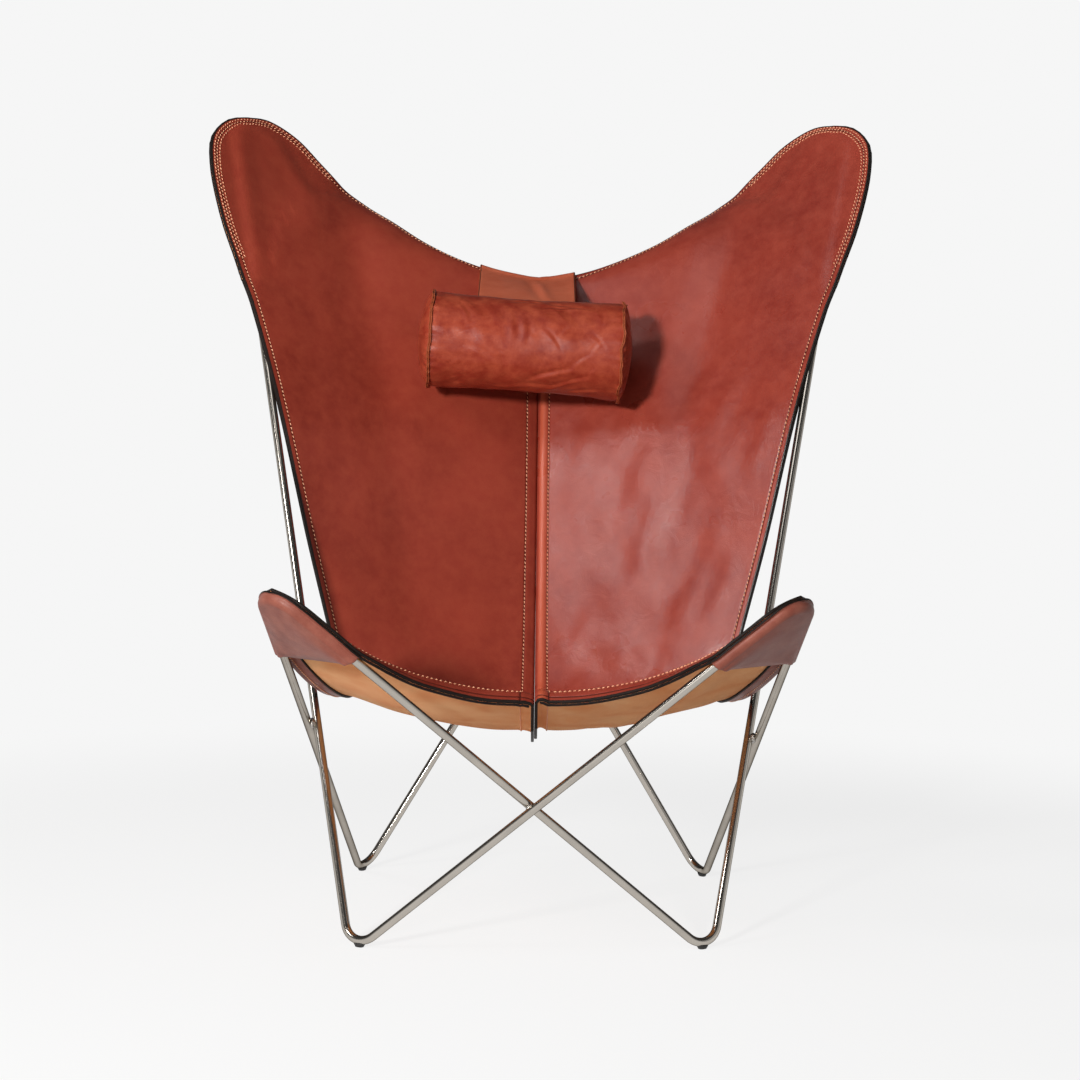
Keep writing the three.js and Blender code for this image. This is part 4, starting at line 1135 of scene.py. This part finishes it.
def weight_bar():
    """The flat steel bar in the pouch, with rounded corners and edges."""
    bottom, top = POUCH_LOW[2] + 18 * MM, node_box("counterweight_bar")[1][2]
    middle = np.array([ROLL_CENTRE[0], POUCH_CENTRE[1], (bottom + top) / 2])
    tall, rings = (top - bottom) / 2, []
    for depth, inset in BAR_SECTION:
        cut, points = inset * MM / 2, []
        for corner, (sx, sz) in enumerate(((1, 1), (-1, 1), (-1, -1), (1, -1))):
            for turn in np.linspace(0, math.pi / 2, 8) + corner * math.pi / 2:
                reach = BAR_CORNER - cut
                points.append((sx * (BAR_HALF - BAR_CORNER - cut) + reach * math.cos(turn),
                               depth * MM,
                               sz * (tall - BAR_CORNER - cut) + reach * math.sin(turn)))
        rings.append(np.array(points) + middle)
    given(Build().capped(rings).object("counterweight_bar_steel", [WEIGHT_STEEL]),
          "counterweight", "weight_steel", "counterweight_bar")


def weld_bead(node, along, around=24, steps=20):
    """A rippled bead of weld metal between two rods."""
    low, high = node_box(node)
    centre, half = (low + high) / 2, (high - low) / 2
    first, second = (axis for axis in range(3) if axis != along)
    rings = []
    for r in range(steps + 1):
        share = -0.97 + 1.94 * r / steps
        thick = math.sqrt(1 - share * share) * (1 + 0.07 * math.cos(share * 19))
        points = []
        for k in range(around):
            turn = 2 * math.pi * k / around
            p = centre.copy()
            p[along] += half[along] * share
            p[first] += half[first] * (thick * math.cos(turn))
            p[second] += half[second] * (thick * math.sin(turn))
            points.append(p)
        rings.append(points)
    given(Build().capped(rings).object(f"{node}_bead", [WELD_STEEL]), "chair", "rod_steel", node)


# Materials


class Nodes:
    """A node tree, built with short calls."""

    def __init__(self, owner):
        owner.use_nodes = True
        self.owner = owner
        self.tree = owner.node_tree

    def put(self, socket, value):
        if isinstance(value, bpy.types.NodeSocket):
            self.tree.links.new(value, socket)
        else:
            socket.default_value = value

    def node(self, kind, inputs=(), out=0, **settings):
        """Adds a node and gives one of its outputs."""
        node = self.tree.nodes.new(kind)
        for key, value in settings.items():
            setattr(node, key, value)
        for key, value in dict(inputs).items():
            self.put(node.inputs[key], value)
        return node.outputs[out]

    def math(self, operation, a, b=0.0):
        return self.node("ShaderNodeMath", {0: a, 1: b}, operation=operation)

    def place(self):
        return self.node("ShaderNodeTexCoord", out="Object")

    def noise(self, scale, detail=3.0, rough=0.5, where=None, twist=0.0):
        inputs = {"Vector": where or self.place(), "Scale": scale, "Detail": detail,
                  "Roughness": rough, "Distortion": twist}
        return self.node("ShaderNodeTexNoise", inputs, "Fac")

    def range(self, value, low, high, to_low=0.0, to_high=1.0, **settings):
        inputs = {"Value": value, "From Min": low, "From Max": high,
                  "To Min": to_low, "To Max": to_high}
        return self.node("ShaderNodeMapRange", inputs, "Result", **settings)

    def mix(self, share, a, b):
        """The blend of two colours."""
        node = self.node("ShaderNodeMix", data_type="RGBA").node
        for key, kind, value in (("Factor", "VALUE", share), ("A", "RGBA", a), ("B", "RGBA", b)):
            self.put([s for s in node.inputs if s.name == key and s.type == kind][0], value)
        return [s for s in node.outputs if s.type == "RGBA"][0]

    def shown(self, share, a, b):
        """The blend of two shaders."""
        return self.node("ShaderNodeMixShader", {0: share, 1: a, 2: b})

    def attribute(self, name):
        return self.node("ShaderNodeAttribute", out="Fac", attribute_name=name)

    def groove(self, distance, centre, width):
        """1 along a line at a distance, falling to 0 beside it."""
        away = self.math("DIVIDE", self.math("SUBTRACT", distance, centre), width)
        return self.math("EXPONENT", self.math("MULTIPLY", self.math("POWER", away, 2.0), -1.0))

    def bump(self, height, distance):
        return self.node("ShaderNodeBump", {"Height": height, "Distance": distance,
                                            "Strength": 1.0}, "Normal")

    def seen(self):
        """1 for what the camera, glossy surfaces and clear ones see of the background."""
        path = self.node("ShaderNodeLightPath").node.outputs
        first = self.math("MAXIMUM", path["Is Camera Ray"], path["Is Glossy Ray"])
        return self.math("MAXIMUM", first, path["Is Transmission Ray"])


class Shader(Nodes):
    """A material whose tree ends in the usual surface shader."""

    def __init__(self, name):
        super().__init__(bpy.data.materials.new(name))

    def finish(self, **inputs):
        surface = self.tree.nodes["Principled BSDF"]
        for key, value in inputs.items():
            self.put(surface.inputs[key.replace("_", " ")], value)
        return self.owner


def tone(red, green, blue):
    """A colour from its three sRGB values, 0 to 255."""
    def linear(c):
        c = c / 255
        return c / 12.92 if c <= 0.04045 else ((c + 0.055) / 1.055) ** 2.4
    return (linear(red), linear(green), linear(blue), 1.0)


PAINT = tone(34, 24, 20)
# Painted shade for the stitch holes and the groove they sit in.
GROOVE_SHADE = tone(62, 15, 9)


def leather(name, dark, base, light, rough=0.42, grain=1.0, rows=(), worn=0.35, creases=0.0,
            gloss=0.25, border=0.0, seam_burnish_and_highlight=None):
    """Grained leather: colours from dark to light, rows of stitch grooves darkened with painted
    shade, a painted border and a lighter line beside the seam: partly burnished leather, partly a
    painted highlight on the lit side of the roll."""
    s = Shader(name)
    dark, base, light = (tone(*colour) for colour in (dark, base, light))
    cloud = s.range(s.noise(5.5, 3.0, 0.5, twist=0.6), 0.22, 0.66)
    fleck = s.range(s.noise(55.0, 6.0, 0.62), 0.36, 0.66)
    colour = s.mix(cloud, dark, base)
    colour = s.mix(s.math("MULTIPLY", fleck, worn), colour, light)
    cells = s.node("ShaderNodeTexVoronoi", {"Vector": s.place(), "Scale": 620.0,
                                            "Randomness": 1.0},
                   "Distance", feature="DISTANCE_TO_EDGE")
    pores = s.range(cells, 0.0, 0.22)
    fine = s.noise(1500.0, 2.0)
    colour = s.mix(s.math("MULTIPLY", s.math("SUBTRACT", 1.0, pores), 0.25), colour, dark)
    pull = s.noise(38.0, 5.0, 0.6, twist=0.9)
    height = s.math("ADD", s.math("MULTIPLY", pores, 0.2), s.math("MULTIPLY", fine, 0.08))
    height = s.math("ADD", height, s.math("MULTIPLY", pull, 1.1 + creases))
    # Lighter band beside the seam: partly burnished leather, partly a painted highlight where the
    # rolled edge faces the light.
    if seam_burnish_and_highlight:
        bent_and_lit = s.groove(s.attribute("seam"), 8.5 * MM, 5.5 * MM)
        colour = s.mix(s.math("MULTIPLY", bent_and_lit, 0.8), colour, tone(*seam_burnish_and_highlight))
    # Each stitch row sinks a groove and darkens it with painted shade for the holes.
    for key, distance, width in rows:
        line = s.groove(s.attribute(key), distance, width)
        height = s.math("SUBTRACT", height, s.math("MULTIPLY", line, 3.2))
        colour = s.mix(s.math("MULTIPLY", line, 0.85), colour, GROOVE_SHADE)
    if border:
        paint = s.range(s.attribute("edge"), border, border + 0.5 * MM, 1.0, 0.0)
        colour = s.mix(paint, colour, PAINT)
    sheen = s.range(s.noise(16.0, 3.0), 0.3, 0.7, rough - 0.05, rough + 0.08)
    return s.finish(Base_Color=colour, Roughness=sheen, Specular_IOR_Level=gloss,
                    Normal=s.bump(height, 0.00022 * grain))


def suede(name, base, light):
    s = Shader(name)
    nap = s.noise(420.0, 5.0, 0.7)
    cloud = s.range(s.noise(18.0, 3.0, 0.5, twist=0.5), 0.35, 0.65)
    colour = s.mix(cloud, base, light)
    colour = s.mix(s.math("MULTIPLY", nap, 0.3), colour, base)
    return s.finish(Base_Color=colour, Roughness=0.92, Normal=s.bump(nap, 0.0004),
                    Specular_IOR_Level=0.1, Sheen_Weight=0.08, Sheen_Roughness=0.6)


def edge_paint(name, base, worn):
    s = Shader(name)
    chips = s.range(s.noise(160.0, 4.0, 0.7), 0.6, 0.72)
    colour = s.mix(chips, base, worn)
    return s.finish(Base_Color=colour, Roughness=s.range(chips, 0, 1, 0.55, 0.8),
                    Normal=s.bump(s.noise(300.0), 0.0002), Specular_IOR_Level=0.12)


def steel(name, base, rough):
    s = Shader(name)
    uv = s.node("ShaderNodeUVMap", out="UV", uv_map="flat")
    drawn = s.node("ShaderNodeMapping", {"Vector": uv, "Scale": (60.0, 6.0, 1.0)})
    lines = s.noise(4.0, 6.0, 0.6, where=drawn)
    cloud = s.noise(30.0, 3.0)
    gloss = s.math("ADD", s.range(lines, 0.3, 0.7, rough - 0.03, rough + 0.04),
                   s.range(cloud, 0.3, 0.7, -0.02, 0.02))
    colour = s.mix(s.range(cloud, 0.35, 0.65), base, [c * 0.9 for c in base[:3]] + [1.0])
    return s.finish(Base_Color=colour, Metallic=1.0, Roughness=gloss,
                    Specular_Tint=(0.12, 0.115, 0.11, 1.0), Normal=s.bump(lines, 0.00002))


def plain(name, base, other, rough, scale, bump, metallic=0.0):
    s = Shader(name)
    grain = s.noise(scale, 4.0, 0.6)
    colour = s.mix(s.range(grain, 0.35, 0.65), base, other)
    return s.finish(Base_Color=colour, Metallic=metallic,
                    Roughness=s.range(grain, 0.3, 0.7, rough - 0.06, rough + 0.06),
                    Normal=s.bump(grain, bump))


PANEL_ROWS = [("edge", 9 * MM, 1.4 * MM), ("seam", SEAM_STITCH, 1.4 * MM)]
LEFT_LEATHER = leather("left_panel_grain", (120, 40, 29), (152, 60, 44), (168, 76, 54), 0.42,
                       1.0, PANEL_ROWS, gloss=0.22, border=1.7 * MM)
# Only the right panel gets the lighter band beside the seam: partly burnished leather, partly a
# painted highlight on its lit rolled edge.
RIGHT_LEATHER = leather("right_panel_grain", (126, 42, 33), (154, 61, 46), (174, 82, 64), 0.3,
                        1.1, PANEL_ROWS, creases=1.6, gloss=0.44, border=1.7 * MM,
                        seam_burnish_and_highlight=(196, 92, 62))
ROLL_LEATHER = leather("headrest_grain", (118, 36, 24), (149, 52, 34), (192, 92, 62), 0.4, 1.3,
                       worn=0.5, creases=0.9, gloss=0.22)
STRAP_LEATHER = leather("strap_grain", (176, 80, 52), (202, 102, 72), (214, 124, 94), 0.4, 1.0,
                        gloss=0.2, border=0.8 * MM)
POCKET_LEATHER = leather("pocket_grain", (100, 50, 40), (138, 74, 60), (160, 98, 82), 0.44, 1.1,
                         worn=0.55, gloss=0.24)
HEM_LEATHER = leather("hem_grain", (96, 42, 30), (132, 62, 44), (156, 84, 62), 0.46)
SUEDE = suede("flesh_side", tone(238, 156, 98), tone(250, 186, 130))
EDGE_PAINT = edge_paint("painted_edge", tone(24, 17, 14), tone(60, 40, 31))
RAW_EDGE = edge_paint("raw_edge", tone(150, 74, 46), tone(190, 112, 78))
THREAD_FINISH = plain("thread", tone(244, 180, 142), tone(228, 158, 120), 0.6, 900.0, 0.0001)
ROD_STEEL = steel("rod_polish", (0.50, 0.46, 0.41, 1.0), 0.15)
WELD_STEEL = plain("weld_metal", (0.42, 0.39, 0.36, 1.0), (0.3, 0.28, 0.26, 1.0), 0.34, 240.0,
                   0.0002, 1.0)
RUBBER = plain("glide_rubber", tone(26, 25, 25), tone(38, 36, 35), 0.66, 500.0, 0.0001)
FOAM = plain("headrest_filling", tone(232, 226, 208), tone(214, 206, 186), 0.9, 700.0, 0.0006)
WEIGHT_STEEL = plain("weight_metal", (0.36, 0.36, 0.37, 1.0), (0.28, 0.28, 0.29, 1.0), 0.42,
                     120.0, 0.0002, 1.0)


# The chair

panels = {side: Panel(side) for side in SIDES}
TOP_LINE = np.mean([panels[side].half.at(np.linspace(0, 0.5, 160), 1) for side in SIDES], 0)

for side in SIDES:
    closed_tube(side)
for node, along in (("weld_front", 0), ("weld_back", 0), ("weld_side_left", 2),
                    ("weld_side_right", 2)):
    weld_bead(node, along)

# The loop's side and the number of its bend over each glide, and the glide's section
GLIDES = {"glide_front_left": (-1, 0), "glide_front_right": (1, 0),
          "glide_back_right": (-1, 2), "glide_back_left": (1, 2)}
GLIDE_RINGS = [(0, 5.0, 3.4), (0.25, 5.5, 3.9), (1.2, 6.0, 4.3), (3.4, 7.4, 5.0), (5.0, 8.2, 5.2),
               (5.7, 7.8, 4.6), (5.9, 6.4, 3.2)]


def glide_pad(node, bend):
    """A small pad that sits under a bend and hugs the rod."""
    low, high = node_box(node)
    run = bend["a"] - bend["b"]
    run = unit(np.array([run[0], run[1], 0]))
    aside = np.array([-run[1], run[0], 0])
    cos, sin = np.cos(full_turn(40)), np.sin(full_turn(40))
    ring = np.stack([np.sign(cos) * np.abs(cos) ** 0.8, np.sign(sin) * np.abs(sin) ** 0.8], -1)
    rings = []
    for height, half_length, half_width in GLIDE_RINGS:
        points = (low + high) / 2 + (ring[:, :1] * half_length * run
                                     + ring[:, 1:] * half_width * aside) * MM
        points[:, 2] = low[2] + height * MM
        rings.append(points)
    given(Build().capped(rings).object(f"{node}_pad", [RUBBER]), "chair", "glide_rubber", node)


for node, (side, number) in GLIDES.items():
    glide_pad(node, LOOPS[side][number])


def nearest(line, point):
    return int(np.linalg.norm(line - point, axis=1).argmin())


def panel_stitches(panel, key):
    """All rows of stitches on one face of a panel: along the seam, along the border and the
    two extra rows round the wing."""
    half, body, normals = panel.half, panel.sheet_points, panel.sheet_normals
    seam, seam_normals = body[:, SEAM_ROW], normals[:, SEAM_ROW]
    rise = run_lengths(seam)
    keep = (rise > 22 * MM) & (rise < rise[-1] - 8 * MM)
    ups = (1 if key == "top" else -1) * seam_normals[keep]
    rows = [(seam[keep] + ups * PANEL / 2, ups)]
    line, normals = panel.edge_line()
    lengths = run_lengths(line)
    at = np.linspace(0, lengths[-1], int(lengths[-1] / (4 * MM)))
    front = lengths[body.shape[1] - 1]
    line, normals = spaced(at, lengths, line), units(spaced(at, lengths, normals))
    inset = BORDER_ROW + BORDER_ROW_FRONT * (1 - smooth((at / front - 0.3) / 0.6))
    inner = line[:, 0] > 17 * MM
    rows.append(inset_row(panel, line[inner], normals[inner], inset[inner], key))
    start, stop = sorted(nearest(line, half.wing[end]) for end in ("at_a", "at_b"))
    part = slice(start + 4, stop - 4)
    for distance in WING_ROWS:
        rows.append(inset_row(panel, line[part], normals[part], distance, key))
    return [(mirrored(p + n * lift, panel.side), mirrored(n, panel.side))
            for (p, n), lift in zip(rows, ROW_LIFTS[key])]


for side, word in SIDES.items():
    panel = panels[side]
    half, body = panel.half, panel.sheet_points
    face = panel.build([LEFT_LEATHER if side < 0 else RIGHT_LEATHER, SUEDE, EDGE_PAINT])
    rows, columns = body.shape[:2]
    top_share = panel.across[-1] / panel.across[-1, -1]
    strips = (("front", (0, 8), (0, nearest(body[0], half.tip["at_a"]) + 3), SUEDE),
              ("side", (nearest(body[:, -1], half.tip["at_b"]) - 2,
                        nearest(body[:, -1], half.wing["at_b"]) + 2),
               (columns - 8, columns), HEM_LEATHER),
              ("top", (rows - 8, rows), (2, int(np.abs(top_share - 0.6).argmin())), HEM_LEATHER))
    trims = [under_strip(f"{place}_hem_{word}", panel, *strip) for place, *strip in strips]
    for place, pocket, runs in (("wing", half.wing, (WING_TOP_RUN, WING_SIDE_RUN)),
                                ("front", half.tip, (FRONT_RUN, BACK_RUN))):
        trims.append(pocket_piece(f"{place}_pocket_{word}", panel, pocket, runs))
    for key in ("top", "low"):
        trims.append(sew(f"stitches_{word}_{key}", panel_stitches(panel, key), "chair",
                         "panel_leather", side + 5))

headrest_roll()
foam_core()
for side in SIDES:
    seam_lip(side)
front, front_middle, front_normals = strap_piece("headrest_strap_leather", front_column, 2)
given(front, None, "headrest_leather", "strap_over_top", "strap_front")
given(strap_piece("headrest_strap_flap", flap_column, 1, 1.6 * MM, edged=False)[0], "headrest",
      "headrest_leather")
rear, rear_middle, _ = strap_piece("counterweight_strap_leather", rear_column, 1)
given(rear, None, "headrest_leather", "strap_rear")
pouch_piece()
weight_bar()


def pouch_stitches():
    inset, corner = 4.6 * MM, 9 * MM
    x0, x1 = (ROLL_CENTRE[0] + s * (STRAP_HALF - inset) for s in (-1, 1))
    low, high = POUCH_LOW[2] + inset, POUCH_HIGH[2] - 3 * MM
    round_corner = [(corner * (1 - math.cos(t)), corner * (1 - math.sin(t)))
                    for t in np.linspace(0, math.pi / 2, 8)]
    places = [(x0, high), (x0, low + corner)]
    places += [(x0 + aside, low + up) for aside, up in round_corner]
    places += [(x1 - up, low + aside) for aside, up in round_corner]
    places += [(x1, low + corner), (x1, high)]
    for sign in (-1, 1):
        line = np.array([(x, POUCH_CENTRE[1] + sign * 3.7 * MM, z) for x, z in places])
        yield line, np.tile([0, sign, 0], (len(line), 1)).astype(float)


sew("pouch_stitches", pouch_stitches(), "counterweight", "headrest_leather", 12)
sew("strap_stitches", [(front_middle[2] + front_normals[2] * STRAP / 2, front_normals[2])],
    "headrest", "headrest_leather", 15)

front_line, rear_line = (line[:, MIDDLE_COLUMN] for line in (front_middle, rear_middle))
float(run_lengths(front_line)[-1])
float(run_lengths(rear_line)[-1])
tuple(front_line[ROW_AT_EDGE])
tuple(front_line[0])
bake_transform(front)
tuple(rear_line[0])
tuple(rear_line[-1])
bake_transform(rear)


# Camera, light and floor

EYE = np.array([0, -3.2292, 0.6801])
YAW, PITCH, ROLL = 0.0015, 0.05735, 0.0125
LENS, SENSOR = 80.0, 36.0


def camera():
    ahead = np.array([math.sin(YAW) * math.cos(PITCH), math.cos(YAW) * math.cos(PITCH),
                      -math.sin(PITCH)])
    right = np.array([math.cos(YAW), -math.sin(YAW), 0])
    up = np.cross(right, ahead)
    right, up = (math.cos(ROLL) * right + math.sin(ROLL) * up,
                 math.cos(ROLL) * up - math.sin(ROLL) * right)
    data = bpy.data.cameras.new("photo_camera")
    data.lens, data.sensor_width = LENS, SENSOR
    obj = bpy.data.objects.new("photo_camera", data)
    turn = Matrix(np.stack([right, up, -ahead], 1).tolist()).to_4x4()
    obj.matrix_world = Matrix.Translation(EYE) @ turn
    bpy.context.collection.objects.link(obj)
    bpy.context.scene.camera = obj


def area_light(name, place, aim, size, power, colour=(1, 1, 1)):
    data = bpy.data.lights.new(name, "AREA")
    data.shape = "DISK"
    data.size, data.energy, data.color = size, power, colour
    obj = bpy.data.objects.new(name, data)
    obj.location = place
    obj.rotation_euler = (Vector(aim) - Vector(place)).to_track_quat("-Z", "Y").to_euler()
    bpy.context.collection.objects.link(obj)


BACKGROUND = 0.921
CEILING = 0.06
WORLD_LIGHT = 0.04
FLOOR_SHARE, FLOOR_PALE, FLOOR_GLOW = 0.14, 0.68, 0.82


def world():
    """White where it is seen, dim as light, and darker overhead for glossy surfaces."""
    studio = bpy.data.worlds.new("studio")
    bpy.context.scene.world = studio
    s = Nodes(studio)
    dim_light = s.tree.nodes["Background"]
    s.put(dim_light.inputs["Color"], (1, 1, 1, 1))
    s.put(dim_light.inputs["Strength"], WORLD_LIGHT)
    up = s.node("ShaderNodeSeparateXYZ", {0: s.node("ShaderNodeTexCoord", out="Generated")}, "Z")
    level = s.node("ShaderNodeMix", {
        "Factor": s.node("ShaderNodeLightPath", out="Is Glossy Ray"),
        "A": BACKGROUND, "B": s.range(up, 0.12, 0.42, BACKGROUND, CEILING)}, "Result")
    backdrop = s.node("ShaderNodeBackground", {"Color": level})
    s.put(s.tree.nodes["World Output"].inputs["Surface"],
          s.shown(s.seen(), dim_light.outputs[0], backdrop))


def floor():
    """A pale floor that fades into the background."""
    material = bpy.data.materials.new("studio_floor")
    s = Nodes(material)
    s.tree.nodes.remove(s.tree.nodes["Principled BSDF"])
    away = s.node("ShaderNodeVectorMath", {0: s.place()}, "Value", operation="LENGTH")
    fade = s.range(away, 0.9, 1.9, interpolation_type="SMOOTHSTEP")
    matt, pale = (s.node("ShaderNodeBsdfDiffuse", {"Color": (level, level, level, 1)})
                  for level in (FLOOR_SHARE, FLOOR_PALE))
    glow, far = (s.node("ShaderNodeEmission", {"Strength": level})
                 for level in (FLOOR_GLOW, BACKGROUND))
    near = s.node("ShaderNodeAddShader", {0: matt, 1: glow})
    s.put(s.tree.nodes["Material Output"].inputs["Surface"],
          s.shown(s.seen(), pale, s.shown(fade, near, far)))
    build = Build()
    build.grid([build.ring([(radius * math.cos(t), radius * math.sin(t), 0)
                            for t in full_turn(64)]) for radius in (0.0001, 1, 2, 4)],
               around=True)
    obj = build.object("floor", [material])
    if obj.data.polygons[0].normal.z < 0:
        obj.data.flip_normals()


bpy.context.scene.view_settings.view_transform = "Standard"
camera()
world()
floor()
middle = (0, 0, 0.6)
area_light("key", (-1.48, -3.45, 1.35), middle, 0.42, 140, (1, 0.985, 0.96))
area_light("soft", (-1.75, -1.35, 2.0), (0.12, 0.18, 0.55), 0.6, 17)
area_light("fill", (2.6, -1.8, 1.9), middle, 2.0, 4)
area_light("top", (-0.4, -0.9, 3.0), middle, 1.2, 7)
